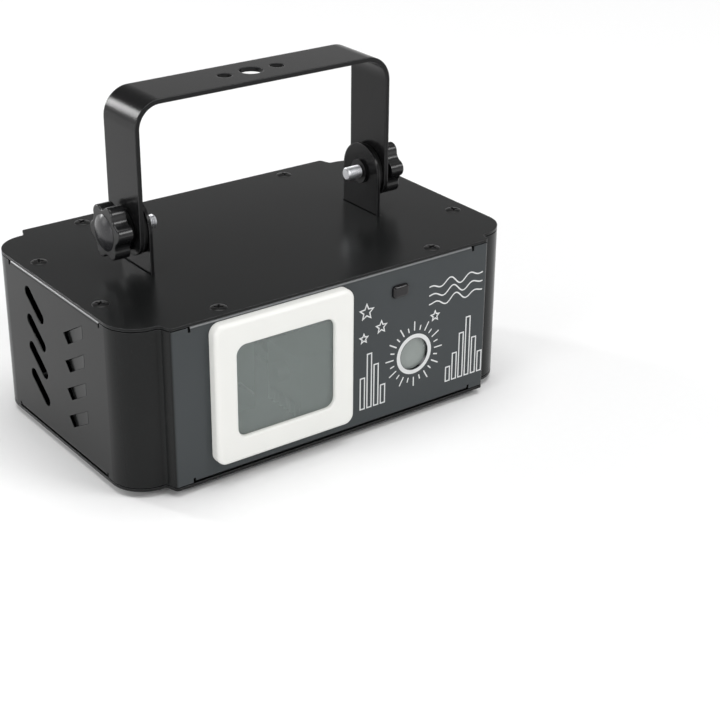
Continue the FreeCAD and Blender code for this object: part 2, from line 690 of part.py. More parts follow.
def right_knob():
    """Lobed hand knob with softened rims, a hub behind it and a blind hole for its stud."""
    body = Part.Face(lobed_outline(KNOB_X)).extrude(V(KNOB_T, 0, 0))
    rims = [edge for edge in body.Edges if edge.BoundBox.XMin > CAP_X - TINY]
    body = body.makeFillet(KNOB_EDGE_R, rims)
    hub = rod(HUB_D / 2, V(HUB_X, 0, PIVOT_Z), V(KNOB_X + KNOB_EDGE_R, 0, PIVOT_Z))
    hole = rod(STUD_D / 2 + SEAT_GAP, V(0, 0, PIVOT_Z), V(CAP_X - CAP_BACK, 0, PIVOT_Z))
    return body.fuse(hub).cut(hole).removeSplitter()


def right_knob_cap():
    """Domed cap on the knob's face."""
    edge = V(CAP_X, CAP_D / 2, PIVOT_Z)
    crown = V(CAP_X + CAP_RISE, 0, PIVOT_Z)
    ball = ((CAP_D / 2) ** 2 + CAP_RISE ** 2) / (2 * CAP_RISE)
    slope = math.asin(CAP_D / 2 / ball) / 2
    centre = CAP_X + CAP_RISE - ball
    shoulder = V(centre + ball * math.cos(slope), ball * math.sin(slope), PIVOT_Z)
    middle = V(CAP_X, 0, PIVOT_Z)
    half = Part.Wire([Part.LineSegment(middle, edge).toShape(),
                      Part.Arc(edge, shoulder, crown).toShape(),
                      Part.LineSegment(crown, middle).toShape()])
    return Part.Face(half).revolve(middle, V(1, 0, 0), 360)


def right_stud():
    """Threaded stud from inside the knob, through leg and ear, to its bevelled free end."""
    tip = EAR_IN - STUD_PROUD
    radius = STUD_D / 2
    bevel = Part.makeCone(radius - STUD_CHAMFER, radius, STUD_CHAMFER, V(tip, 0, PIVOT_Z), V(1, 0, 0))
    shank = rod(radius, V(tip + STUD_CHAMFER, 0, PIVOT_Z), V(CAP_X - CAP_BACK, 0, PIVOT_Z))
    return bevel.fuse(shank)


def window_slab(grow, near, far):
    """Block as wide and high as the window, grown on all sides."""
    return upright(BEZEL_X, BEZEL_Z, WINDOW_W + 2 * grow, WINDOW_H + 2 * grow, WINDOW_R + grow, near, far)


def window_bezel():
    """Moulded frame with a rounded rim, a rebate for the pane and a spigot through the panel."""
    front = -PANEL_Y - BEZEL_T
    frame = upright(BEZEL_X, BEZEL_Z, BEZEL_W, BEZEL_H, BEZEL_R, front, -PANEL_Y)
    rim = [edge for edge in frame.Edges if edge.BoundBox.YMax < front + TINY]
    frame = frame.makeFillet(BEZEL_ROUND, rim).fuse(window_slab(GLASS_LAP + LIP_T, -PANEL_Y, -PANEL_IN))
    opening = window_slab(0, front - SHEET, -PANEL_IN + SHEET)
    rebate = window_slab(GLASS_LAP + SEAT_GAP, front + GLASS_SET, -PANEL_IN + SHEET)
    frame = frame.cut([opening, rebate]).removeSplitter()
    reach = WINDOW_W / 2 + TINY
    mouth = [edge for edge in frame.Edges
             if edge.BoundBox.YMax < front + 2 * TINY
             and abs(edge.BoundBox.XMin - BEZEL_X) < reach
             and abs(edge.BoundBox.XMax - BEZEL_X) < reach
             and edge.BoundBox.ZLength < WINDOW_H]
    return frame.makeFillet(WINDOW_ROUND, mouth)


def window_glass():
    """Pane set into the frame's rebate from behind."""
    face = -PANEL_Y - BEZEL_T + GLASS_SET
    return window_slab(GLASS_LAP, face, face + GLASS_T)


def sensor_window():
    """Dark pane with a flange behind the panel and a rounded face proud of it."""
    front = -PANEL_Y - SENSOR_PROUD
    face = upright(SENSOR_X, SENSOR_Z, SENSOR_W, SENSOR_H, SENSOR_R, front, -PANEL_IN)
    rim = [edge for edge in face.Edges if edge.BoundBox.YMax < front + TINY]
    face = face.makeFillet(SENSOR_ROUND, rim)
    lap = 2 * SENSOR_LAP
    flange = upright(SENSOR_X, SENSOR_Z, SENSOR_W + lap, SENSOR_H + lap, SENSOR_R, -PANEL_IN,
                     -PANEL_IN + SENSOR_FLANGE_T)
    return face.fuse(flange).removeSplitter()


def sensor_receiver():
    """Receiver block behind the dark pane."""
    near = -PANEL_IN + SENSOR_FLANGE_T
    return upright(SENSOR_X, SENSOR_Z, SENSOR_W, SENSOR_H, 0, near, RECEIVER_BACK)


def outlet_lens():
    """Round pane behind the panel's second outlet."""
    return bar(OUTLET_D / 2 + OUTLET_LAP, OUTLET_X, OUTLET_Z, -PANEL_IN, -PANEL_IN + OUTLET_T)


def along_y(shape):
    """Turn a piece of the scanner from its own X axis to the body's Y axis, motor to the rear."""
    return shape.rotate(V(0, 0, 0), V(0, 0, 1), -90)


def scan_motor():
    """Motor can on its own X axis, front boss towards +X; the origin is the mirror's middle."""
    face = -SCAN_REACH - BRACKET_T
    can = rod(MOTOR_D / 2, V(face - MOTOR_L, 0, 0), V(face, 0, 0))
    boss = rod(MOTOR_BOSS_D / 2, V(face, 0, 0), V(-SCAN_REACH, 0, 0))
    bore = rod(SHAFT_D / 2 + SHAFT_GAP, V(face - SHAFT_DEEP, 0, 0), V(0, 0, 0))
    return can.fuse(boss).cut(bore)


def scan_shaft():
    """Motor shaft with a slotted mirror holder at its end."""
    face = -SCAN_REACH - BRACKET_T
    holder_start = -SCAN_REACH + RUN_GAP
    holder_end = -MIRROR_LENGTH / 2 + HOLDER_BITE
    shaft = rod(SHAFT_D / 2, V(face - SHAFT_DEEP + SHAFT_END_GAP, 0, 0), V(holder_start, 0, 0))
    holder = rod(HOLDER_D / 2, V(holder_start, 0, 0), V(holder_end, 0, 0))
    return shaft.fuse(holder).cut(scan_mirror())


def scan_mirror():
    """Flat mirror, its length on the shaft's axis."""
    half_l, half_w, half_t = MIRROR_LENGTH / 2, MIRROR_W / 2, MIRROR_T / 2
    return box((-half_l, half_l), (-half_w, half_w), (-half_t, half_t))


def on_low_axis(shape):
    """Place a scanner piece on the lower axis, along Y, its mirror turning the beam from -X to +Z."""
    turned = along_y(shape.copy().rotate(V(0, 0, 0), V(1, 0, 0), MIRROR_TILT))
    return turned.translate(V(BEZEL_X, SCAN_Y, LOW_Z))


def on_high_axis(shape):
    """Place a scanner piece on the upper axis, along X, its mirror turning the beam from +Z to -Y."""
    turned = shape.copy().rotate(V(0, 0, 0), V(1, 0, 0), MIRROR_TILT)
    return turned.translate(V(BEZEL_X, SCAN_Y, HIGH_Z))


def scanner_bracket():
    """Angle bracket on the floor, one wall for each scan motor."""
    left = BEZEL_X - SCAN_REACH - BRACKET_T
    near = SCAN_Y + SCAN_REACH
    half = MOTOR_D / 2 + BRACKET_RIM
    rear_wall = box((left, BEZEL_X + half), (near, near + BRACKET_T), (FLOOR, LOW_Z + half))
    side_wall = box((left, left + BRACKET_T), (SCAN_Y - half, near + BRACKET_T), (FLOOR, HIGH_Z + half))
    foot_x = (BEZEL_X + MOTOR_D / 2, BEZEL_X + half)
    foot = box(foot_x, (near, near + BRACKET_FOOT), (FLOOR, FLOOR + BRACKET_T))
    hole = MOTOR_BOSS_D / 2 + SEAT_GAP
    holes = [bar(hole, BEZEL_X, LOW_Z, near - BRACKET_T, near + 2 * BRACKET_T),
             rod(hole, V(left - BRACKET_T, SCAN_Y, HIGH_Z), V(left + 2 * BRACKET_T, SCAN_Y, HIGH_Z))]
    return rear_wall.fuse([side_wall, foot]).cut(holes).removeSplitter()


def laser_module():
    """Laser block with bevelled upper edges and a nose that points at the lower mirror."""
    low, high = LOW_Z - LASER_H / 2, LOW_Z + LASER_H / 2
    near, far = SCAN_Y - LASER_W / 2, SCAN_Y + LASER_W / 2
    profile = [V(LASER_X, near, low), V(LASER_X, far, low), V(LASER_X, far, high), V(LASER_X, near, high)]
    block = slab(profile, [0, 0, LASER_EDGE, LASER_EDGE], V(LASER_L, 0, 0))
    nose_tip = V(LASER_X - LASER_NOSE_L, SCAN_Y, LOW_Z)
    return block.fuse(rod(LASER_NOSE_D / 2, nose_tip, V(LASER_X, SCAN_Y, LOW_Z)))


def laser_heat_sink():
    """Finned block between the laser and the floor."""
    top = LOW_Z - LASER_H / 2
    base = top - 2 * FIN_T
    near, far = SCAN_Y - LASER_W / 2, SCAN_Y + LASER_W / 2
    length = (LASER_X, LASER_X + LASER_L)
    pitch = (LASER_W - FIN_T) / (FIN_COUNT - 1)
    fins = [box(length, (near + index * pitch, near + index * pitch + FIN_T), (FLOOR, base))
            for index in range(FIN_COUNT)]
    return box(length, (near, far), (base, top)).fuse(fins).removeSplitter()


def beam_clamp():
    """Upright block that grips the second laser and the motor of its grating."""
    half = CLAMP_W / 2
    top = GRATING_Z + BARREL_D / 2 + CLAMP_RIM
    span = (CLAMP_FRONT, CLAMP_FRONT + CLAMP_D)
    block = box((OUTLET_X - half, OUTLET_X + half), span, (FLOOR, top))
    bores = [bar(BARREL_D / 2 + SEAT_GAP, OUTLET_X, z, span[0], span[1])
             for z in (OUTLET_Z, GRATING_Z)]
    return block.cut(bores)


def beam_laser():
    """Second laser in a round barrel with a set-back lens."""
    front = CLAMP_FRONT - BARREL_FRONT
    barrel = bar(BARREL_D / 2, OUTLET_X, OUTLET_Z, front, front + BARREL_L)
    lens = bar(BARREL_D / 4, OUTLET_X, OUTLET_Z, front, front + GRATING_T)
    return barrel.cut(lens)


def grating_motor():
    """Small motor in the clamp, with a bore for the wheel's shaft."""
    front = CLAMP_FRONT - BARREL_FRONT
    can = bar(BARREL_D / 2, OUTLET_X, GRATING_Z, front, front + BARREL_L / 2)
    bore = bar(SHAFT_D / 2 + SHAFT_GAP, OUTLET_X, GRATING_Z, front, front + SHAFT_DEEP)
    return can.cut(bore)


def grating_wheel():
    """Thin disc on a hub and shaft, turning between the second laser and its outlet."""
    face = CLAMP_FRONT - BARREL_FRONT
    back = face - GRATING_GAP
    disc = bar(GRATING_D / 2, OUTLET_X, GRATING_Z, back - GRATING_T, back)
    hub = bar(GRATING_HUB_D / 2, OUTLET_X, GRATING_Z, back, face - LOOSE_GAP)
    shaft = bar(SHAFT_D / 2, OUTLET_X, GRATING_Z, back, face + SHAFT_DEEP - SHAFT_END_GAP)
    return disc.fuse([hub, shaft]).removeSplitter()


def fan_holes():
    """Screw positions of the fan in the rear panel."""
    return [(FAN_X + side * FAN_HOLE_OFF, FAN_Z + end * FAN_HOLE_OFF) for side in (1, -1) for end in (1, -1)]


def fan_frame():
    """Square fan frame with a motor plate on three struts and a bearing tube."""
    near = PANEL_IN - FAN_T
    frame = upright(FAN_X, FAN_Z, FAN_SIZE, FAN_SIZE, FAN_CORNER_R, near, PANEL_IN)
    cuts = [bar(FAN_BORE_R, FAN_X, FAN_Z, near, PANEL_IN)]
    cuts += [bar(FAN_HOLE_D / 2, x, z, near, PANEL_IN) for x, z in fan_holes()]
    plate_end = near + FAN_PLATE_T
    plate = bar(FAN_HUB_D / 2, FAN_X, FAN_Z, near, plate_end)
    struts = []
    reach, side = FAN_BORE_R + FAN_BORE_RIM / 2, FAN_STRUT_W / 2
    for turn in (90, 210, 330):
        strut = box((0, reach), (near, plate_end), (-side, side))
        struts.append(strut.rotate(V(0, 0, 0), V(0, 1, 0), turn).translate(V(FAN_X, 0, FAN_Z)))
    bearing = bar(FAN_BEARING_D / 2, FAN_X, FAN_Z, plate_end, PANEL_IN - FAN_T / 2)
    bore = bar(SHAFT_D / 2 + SHAFT_GAP, FAN_X, FAN_Z, near + SHAFT_END_GAP, PANEL_IN)
    return frame.cut(cuts).fuse([plate, bearing] + struts).cut(bore).removeSplitter()


def fan_rotor():
    """Hub cup with pitched blades and a shaft in the frame's bearing."""
    plate_end = PANEL_IN - FAN_T + FAN_PLATE_T
    back, front = plate_end + LOOSE_GAP, PANEL_IN - LOOSE_GAP
    wall = (FAN_HUB_D - FAN_BEARING_D) / 4
    bearing_end = PANEL_IN - FAN_T / 2
    cup = bar(FAN_HUB_D / 2, 0, 0, back, front)
    hollow = bar(FAN_HUB_D / 2 - wall, 0, 0, back, bearing_end + LOOSE_GAP)
    shaft = bar(SHAFT_D / 2, 0, 0, PANEL_IN - FAN_T + 2 * SHAFT_END_GAP, front)
    tip = FAN_BORE_R - FAN_TIP_GAP
    swept = ring(tip, FAN_HUB_D / 2 - wall / 2, V(0, back, 0), V(0, front, 0))
    middle = (back + front) / 2
    blades = []
    for index in range(FAN_BLADES):
        plate = box((0, 2 * tip), (-FAN_T, FAN_T), (-FAN_BLADE_T / 2, FAN_BLADE_T / 2))
        plate.rotate(V(0, 0, 0), V(1, 0, 0), FAN_BLADE_ANGLE)
        plate.translate(V(0, middle, 0))
        plate.rotate(V(0, 0, 0), V(0, 1, 0), index * 360 / FAN_BLADES)
        blades.append(plate.common(swept))
    return cup.cut(hollow).fuse([shaft] + blades).translate(V(FAN_X, 0, FAN_Z))


def fan_guard():
    """Stamped finger guard: flat rings on sloping legs that end in screw eyes on the panel."""
    top, low = PANEL_Y + GUARD_H, PANEL_Y + GUARD_H - GUARD_T
    hole = FAN_HOLE_OFF * math.sqrt(2)
    outer = FAN_BORE_R - GUARD_BAR / 2
    pitch = outer / GUARD_RINGS
    side = GUARD_BAR / 2
    pieces = []
    for index in range(GUARD_RINGS):
        radius = pitch * (index + 1)
        pieces.append(ring(radius + side, radius - side, V(0, low, 0), V(0, top, 0)))
    eye_edge = hole - GUARD_EYE_D / 2 + side
    profile = [V(pitch, low, -side), V(outer, low, -side), V(eye_edge, PANEL_Y, -side),
               V(hole, PANEL_Y, -side), V(hole, PANEL_Y + GUARD_T, -side),
               V(eye_edge, PANEL_Y + GUARD_T, -side), V(outer, top, -side), V(pitch, top, -side)]
    for turn in (45, 135, 225, 315):
        leg = slab(profile, [0] * len(profile), V(0, 0, GUARD_BAR))
        eye = bar(GUARD_EYE_D / 2, hole, 0, PANEL_Y, PANEL_Y + GUARD_T)
        pieces.append(leg.fuse(eye).rotate(V(0, 0, 0), V(0, 1, 0), turn))
    guard = pieces[0].fuse(pieces[1:]).translate(V(FAN_X, 0, FAN_Z))
    holes = [bar(FAN_HOLE_D / 2, x, z, PANEL_Y - SHEET, PANEL_Y + GUARD_H) for x, z in fan_holes()]
    return guard.cut(holes).removeSplitter()


def panel_screw(x, z, flange, length):
    """Screw through a flange and the rear panel, with a low round head."""
    seat = PANEL_Y + flange
    head = bar(PANEL_SCREW_HEAD_D / 2, x, z, seat, seat + PANEL_SCREW_HEAD_T)
    return head.fuse(bar(PANEL_SCREW_D / 2, x, z, seat - length, seat))


def xlr_holes(x):
    """Two screw positions at opposite corners of a signal socket."""
    off_x, off_z = XLR_W / 2 - XLR_SCREW_INSET, XLR_H / 2 - XLR_SCREW_INSET
    return [(x - off_x, XLR_Z + off_z), (x + off_x, XLR_Z - off_z)]


def inlet_holes():
    """Screw positions above and below the power inlet."""
    return [(INLET_X, INLET_Z + INLET_SCREW_PITCH / 2), (INLET_X, INLET_Z - INLET_SCREW_PITCH / 2)]


def socket_holes():
    """All screw positions of the sockets in the rear panel."""
    return xlr_holes(DMX_IN_X) + xlr_holes(DMX_OUT_X) + inlet_holes()


def rear_screws():
    """Screws that hold sockets, fan and guard to the rear panel."""
    signal_holes = xlr_holes(DMX_IN_X) + xlr_holes(DMX_OUT_X)
    signal = [panel_screw(x, z, XLR_FLANGE_T, SOCKET_SCREW_LENGTH) for x, z in signal_holes]
    mains = [panel_screw(x, z, INLET_FLANGE_T, SOCKET_SCREW_LENGTH) for x, z in inlet_holes()]
    fan = [panel_screw(x, z, GUARD_T, GUARD_T + FAN_T) for x, z in fan_holes()]
    return Part.makeCompound(signal + mains + fan)


def xlr_blank(x):
    """Flange and barrel that both signal sockets share."""
    front = PANEL_Y + XLR_FLANGE_T
    flange = upright(x, XLR_Z, XLR_W, XLR_H, XLR_R, PANEL_Y, front)
    barrel = bar(XLR_BARREL_D / 2, x, XLR_Z, PANEL_Y - XLR_DEEP, PANEL_Y)
    holes = [bar(PANEL_SCREW_D / 2 + SEAT_GAP, hole_x, z, PANEL_Y, front) for hole_x, z in xlr_holes(x)]
    return flange.fuse(barrel).cut(holes)


def xlr_pins(x, radius, near, far):
    """Three round contacts on a circle, one below and two above."""
    pins = []
    for angle in (math.radians(45), math.radians(135), math.radians(270)):
        pin_x, pin_z = x + XLR_PIN_R * math.cos(angle), XLR_Z + XLR_PIN_R * math.sin(angle)
        pins.append(bar(radius, pin_x, pin_z, near, far))
    return pins


def dmx_in_socket():
    """Signal input: an open cup for a plug."""
    front = PANEL_Y + XLR_FLANGE_T
    cup = bar(XLR_CUP_D / 2, DMX_IN_X, XLR_Z, front - XLR_CUP_DEEP, front)
    return xlr_blank(DMX_IN_X).cut(cup)


def dmx_in_pins():
    """Contacts that stand on the floor of the input's cup."""
    front = PANEL_Y + XLR_FLANGE_T
    pins = xlr_pins(DMX_IN_X, XLR_PIN_D / 2, front - XLR_CUP_DEEP, front - XLR_PIN_SET_BACK)
    return Part.makeCompound(pins)


def dmx_out_socket():
    """Signal output: a core with three holes inside a ring-shaped groove."""
    front = PANEL_Y + XLR_FLANGE_T
    start, end = V(DMX_OUT_X, front - XLR_CUP_DEEP, XLR_Z), V(DMX_OUT_X, front, XLR_Z)
    groove = ring(XLR_CUP_D / 2, XLR_CORE_D / 2, start, end)
    holes = xlr_pins(DMX_OUT_X, XLR_PIN_D / 2 + SHAFT_GAP, front - XLR_CUP_DEEP, front)
    return xlr_blank(DMX_OUT_X).cut([groove] + holes)


def power_inlet():
    """Mains inlet: flange, body and a recess with two bevelled corners."""
    front = PANEL_Y + INLET_FLANGE_T
    flange = upright(INLET_X, INLET_Z, INLET_W, INLET_H, INLET_R, PANEL_Y, front)
    body = upright(INLET_X, INLET_Z, INLET_BODY_W, INLET_BODY_H, 0, PANEL_Y - INLET_DEEP, PANEL_Y)
    half_w, half_h, bevel = INLET_CUP_W / 2, INLET_CUP_H / 2, INLET_CUP_CHAMFER
    corners = [(-half_w, -half_h), (half_w - bevel, -half_h), (half_w, -half_h + bevel),
               (half_w, half_h - bevel), (half_w - bevel, half_h), (-half_w, half_h)]
    points = [V(INLET_X + x, front, INLET_Z + z) for x, z in corners]
    cup = slab(points, [0] * len(points), V(0, -INLET_CUP_DEEP, 0))
    holes = [bar(PANEL_SCREW_D / 2 + SEAT_GAP, x, z, PANEL_Y, front) for x, z in inlet_holes()]
    return flange.fuse(body).cut([cup] + holes).removeSplitter()


def inlet_pins():
    """Three flat blades on the floor of the inlet's recess."""
    front = PANEL_Y + INLET_FLANGE_T
    blades = []
    side, spread = INLET_PIN_SIDE, INLET_PIN_SPREAD
    for x, z in ((-side, spread), (-side, -spread), (side, 0)):
        blades.append(upright(INLET_X + x, INLET_Z + z, INLET_PIN_H, INLET_PIN_W, 0,
                              front - INLET_CUP_DEEP, front - INLET_PIN_SET_BACK))
    return Part.makeCompound(blades)


def display_window():
    """Smoked pane behind the panel."""
    lap = 2 * DISPLAY_LAP
    near = PANEL_IN - DISPLAY_WINDOW_T
    return upright(DISPLAY_X, DISPLAY_Z, DISPLAY_W + lap, DISPLAY_H + lap, 0, near, PANEL_IN)


def display_module():
    """Digit display between board and pane."""
    lap = 2 * DISPLAY_MODULE_LAP
    far = PANEL_IN - DISPLAY_WINDOW_T
    return upright(DISPLAY_X, DISPLAY_Z, DISPLAY_W + lap, DISPLAY_H + lap, 0, BOARD_Y, far)


def menu_button(x):
    """Round push button with a flange behind the panel and a stem towards its switch."""
    flange_end = PANEL_IN - LOOSE_GAP
    flange_start = flange_end - BUTTON_FLANGE_T
    cap = bar(BUTTON_D / 2, x, DISPLAY_Z, flange_start, PANEL_Y + BUTTON_PROUD)
    flange = bar(BUTTON_FLANGE_D / 2, x, DISPLAY_Z, flange_start, flange_end)
    stem = bar(BUTTON_STEM_D / 2, x, DISPLAY_Z, BOARD_Y + SWITCH_T + BUTTON_REST_GAP, flange_start)
    return cap.fuse([flange, stem]).removeSplitter()


def button_switches():
    """Square switches on the board, one behind each button."""
    return Part.makeCompound([upright(x, DISPLAY_Z, SWITCH_SIZE, SWITCH_SIZE, 0, BOARD_Y, BOARD_Y + SWITCH_T)
                              for x in BUTTONS_X])


def control_board():
    """Circuit board behind display, buttons and microphone."""
    middle, width = (BOARD_LEFT + BOARD_RIGHT) / 2, BOARD_RIGHT - BOARD_LEFT
    return upright(middle, DISPLAY_Z, width, BOARD_H, 0, BOARD_Y - BOARD_T, BOARD_Y)


def board_posts():
    """Posts that carry the control board on the rear panel and the supply board on the floor."""
    posts = []
    for x in (BOARD_LEFT + BOARD_POST_INSET, BOARD_RIGHT - BOARD_POST_INSET):
        for side in (1, -1):
            z = DISPLAY_Z + side * (BOARD_H / 2 - BOARD_POST_INSET)
            posts.append(bar(BOARD_POST_D / 2, x, z, BOARD_Y, PANEL_IN))
    off_x, off_y = SUPPLY_W / 2 - SUPPLY_POST_INSET, SUPPLY_D / 2 - SUPPLY_POST_INSET
    for x in (SUPPLY_X - off_x, SUPPLY_X + off_x):
        for y in (SUPPLY_Y - off_y, SUPPLY_Y + off_y):
            posts.append(rod(SUPPLY_POST_D / 2, V(x, y, FLOOR), V(x, y, SUPPLY_Z)))
    return Part.makeCompound(posts)


def microphone():
    """Round capsule on the board, close behind its hole in the panel."""
    return bar(MIC_D / 2, MIC_X, DISPLAY_Z, BOARD_Y, PANEL_IN - LOOSE_GAP)


def supply_board():
    """Power supply's circuit board."""
    half_w, half_d = SUPPLY_W / 2, SUPPLY_D / 2
    return box((SUPPLY_X - half_w, SUPPLY_X + half_w), (SUPPLY_Y - half_d, SUPPLY_Y + half_d),
               (SUPPLY_Z, SUPPLY_Z + BOARD_T))


def supply_parts():
    """Transformer, capacitors, cooling plate and terminal block on the supply board."""
    top = SUPPLY_Z + BOARD_T
    left, near = SUPPLY_X - SUPPLY_W / 2 + SUPPLY_PART_GAP, SUPPLY_Y - SUPPLY_D / 2 + SUPPLY_PART_GAP

    def block(size, x, y):
        return box((x, x + size[0]), (y, y + size[1]), (top, top + size[2]))

    can_x = left + TRANSFORMER[0] + SUPPLY_PART_GAP + SUPPLY_CAN_D / 2
    cans = []
    for index in range(2):
        x = can_x + index * (SUPPLY_CAN_D + SUPPLY_PART_GAP)
        y = near + SUPPLY_CAN_D / 2
        cans.append(rod(SUPPLY_CAN_D / 2, V(x, y, top), V(x, y, top + SUPPLY_CAN_H)))
    fin_y = near + max(TRANSFORMER[1], SUPPLY_CAN_D) + SUPPLY_PART_GAP
    terminal_x = left + SUPPLY_FIN[0] + SUPPLY_PART_GAP
    blocks = [block(TRANSFORMER, left, near),
              block(SUPPLY_FIN, left, fin_y),
              block(TERMINAL, terminal_x, fin_y - SUPPLY_FIN[1])]
    return Part.makeCompound(blocks + cans)


def all_parts():
    """Every piece of the projector under its name."""
    band = wall_band()
    parts = {
        "base_plate": base_plate(),
        "base_screws": Part.makeCompound(floor_screws(0)),
        "rubber_feet": rubber_feet(),
        "front_shell": front_shell(band),
        "rear_panel": rear_panel(band),
        "top_plate": top_plate(),
        "top_screws": Part.makeCompound(lid_screws(0)),
        "window_bezel": window_bezel(),
        "window_glass": window_glass(),
        "sensor_window": sensor_window(),
        "sensor_receiver": sensor_receiver(),
        "outlet_lens": outlet_lens(),
        "scanner_bracket": scanner_bracket(),
        "scan_motors": Part.makeCompound([on_low_axis(scan_motor()), on_high_axis(scan_motor())]),
        "low_scan_shaft": on_low_axis(scan_shaft()),
        "high_scan_shaft": on_high_axis(scan_shaft()),
        "low_scan_mirror": on_low_axis(scan_mirror()),
        "high_scan_mirror": on_high_axis(scan_mirror()),
        "laser_module": laser_module(),
        "laser_heat_sink": laser_heat_sink(),
        "beam_clamp": beam_clamp(),
        "beam_laser": beam_laser(),
        "grating_motor": grating_motor(),
        "grating_wheel": grating_wheel(),
        "fan_frame": fan_frame(),
        "fan_rotor": fan_rotor(),
        "fan_guard": fan_guard(),
        "dmx_in_socket": dmx_in_socket(),
        "dmx_in_pins": dmx_in_pins(),
        "dmx_out_socket": dmx_out_socket(),
        "power_inlet": power_inlet(),
        "inlet_pins": inlet_pins(),
        "rear_screws": rear_screws(),
        "display_window": display_window(),
        "display_module": display_module(),
        "control_board": control_board(),
        "button_switches": button_switches(),
        "board_posts": board_posts(),
        "microphone": microphone(),
        "supply_board": supply_board(),
        "supply_parts": supply_parts(),
        "yoke": yoke(),
    }
    for index, x in enumerate(BUTTONS_X):
        parts["menu_button_%d" % (index + 1)] = menu_button(x)
    pivot = {
        "ear": right_ear(),
        "ear_nut": right_ear_nut(),
        "friction_washer": washer(FRICTION_D, EAR_OUT + RUN_GAP, FRICTION_T),
        "clamp_washer": washer(CLAMP_WASHER_D, CLAMP_WASHER_X, CLAMP_WASHER_T),
        "knob": right_knob(),
        "knob_cap": right_knob_cap(),
        "stud": right_stud(),
    }
    for name, shape in pivot.items():
        parts["right_" + name] = shape
        parts["left_" + name] = mirrored(shape)
    return parts


os.makedirs("parts", exist_ok=True)
for name, shape in all_parts().items():
    shape.exportStep("parts/" + name + ".step")
    print(name, "solids", len(shape.Solids), "volume", round(shape.Volume, 1), "valid", shape.isValid())
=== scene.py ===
"""Dressed model of a laser show projector, standing on a white studio floor."""

import logging
import math
from dataclasses import dataclass, replace
from enum import Enum
from typing import Any, Iterable, Optional, Sequence, Union

import bmesh
import bpy
from mathutils import Matrix, Vector


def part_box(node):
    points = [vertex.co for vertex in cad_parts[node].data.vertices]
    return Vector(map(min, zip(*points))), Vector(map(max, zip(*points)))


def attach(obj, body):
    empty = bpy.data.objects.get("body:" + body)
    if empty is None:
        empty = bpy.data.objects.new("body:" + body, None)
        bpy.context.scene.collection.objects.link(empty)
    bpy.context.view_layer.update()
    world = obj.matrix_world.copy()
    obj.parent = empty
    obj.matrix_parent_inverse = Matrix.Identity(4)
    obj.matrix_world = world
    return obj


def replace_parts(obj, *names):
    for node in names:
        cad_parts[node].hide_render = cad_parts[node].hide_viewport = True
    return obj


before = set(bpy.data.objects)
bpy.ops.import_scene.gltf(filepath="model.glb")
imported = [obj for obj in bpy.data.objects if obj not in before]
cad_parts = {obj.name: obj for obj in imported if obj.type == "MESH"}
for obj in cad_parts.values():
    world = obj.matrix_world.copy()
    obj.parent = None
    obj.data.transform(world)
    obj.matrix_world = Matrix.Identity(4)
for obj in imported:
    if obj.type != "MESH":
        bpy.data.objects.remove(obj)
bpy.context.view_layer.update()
PANEL_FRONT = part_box("front_shell")[0].y

LOG = logging.getLogger("projector")
MM = 0.001
TURN = 2 * math.pi

Triple = tuple[float, float, float]
Colour = Triple
Spot = tuple[float, float]
Stops = Sequence[Spot]

EVEN: Triple = (1.0, 1.0, 1.0)
RISING: Stops = ((0.0, 0.0), (1.0, 1.0))
EDGE_SAMPLES = 6
SHARP_ANGLE = math.radians(35)
WELD = 1e-6
SOCKET_NAMES = {"ior": "IOR", "specular_ior_level": "Specular IOR Level"}
MIX_FACTOR, MIX_LOW, MIX_HIGH, MIX_RESULT = 0, 6, 7, 2  # a Mix node's sockets for colours


class Side(Enum):
    """Side of the body, seen from the front."""

    LEFT = -1
    RIGHT = 1

    @property
    def word(self) -> str:
        """Side as it stands in the pieces' names."""
        return self.name.lower()


class Head(Enum):
    """Shape of a screw's head."""

    RAISED = "raised countersunk"
    PAN = "pan"


class Signal:
    """Output of a shader node that takes part in expressions like a number."""

    def __init__(self, graph: "Graph", socket: bpy.types.NodeSocket) -> None:
        """Keep the graph and the socket."""
        self.graph = graph
        self.socket = socket

    def _math(self, operation: str, left: "Value", right: "Value") -> "Signal":
        """Result of one Math node on two values."""
        return self.graph.node("ShaderNodeMath", {"operation": operation}, {0: left, 1: right})

    def __add__(self, other: "Value") -> "Signal":
        """Sum."""
        return self._math("ADD", self, other)

    def __radd__(self, other: "Value") -> "Signal":
        """Sum with a plain number in front."""
        return self._math("ADD", other, self)

    def __sub__(self, other: "Value") -> "Signal":
        """Difference."""
        return self._math("SUBTRACT", self, other)

    def __rsub__(self, other: "Value") -> "Signal":
        """Difference from a plain number."""
        return self._math("SUBTRACT", other, self)

    def __mul__(self, other: "Value") -> "Signal":
        """Product."""
        return self._math("MULTIPLY", self, other)

    def __rmul__(self, other: "Value") -> "Signal":
        """Product with a plain number in front."""
        return self._math("MULTIPLY", other, self)

    def __abs__(self) -> "Signal":
        """Size without its sign."""
        return self._math("ABSOLUTE", self, 0.0)


Value = Union[Signal, float]


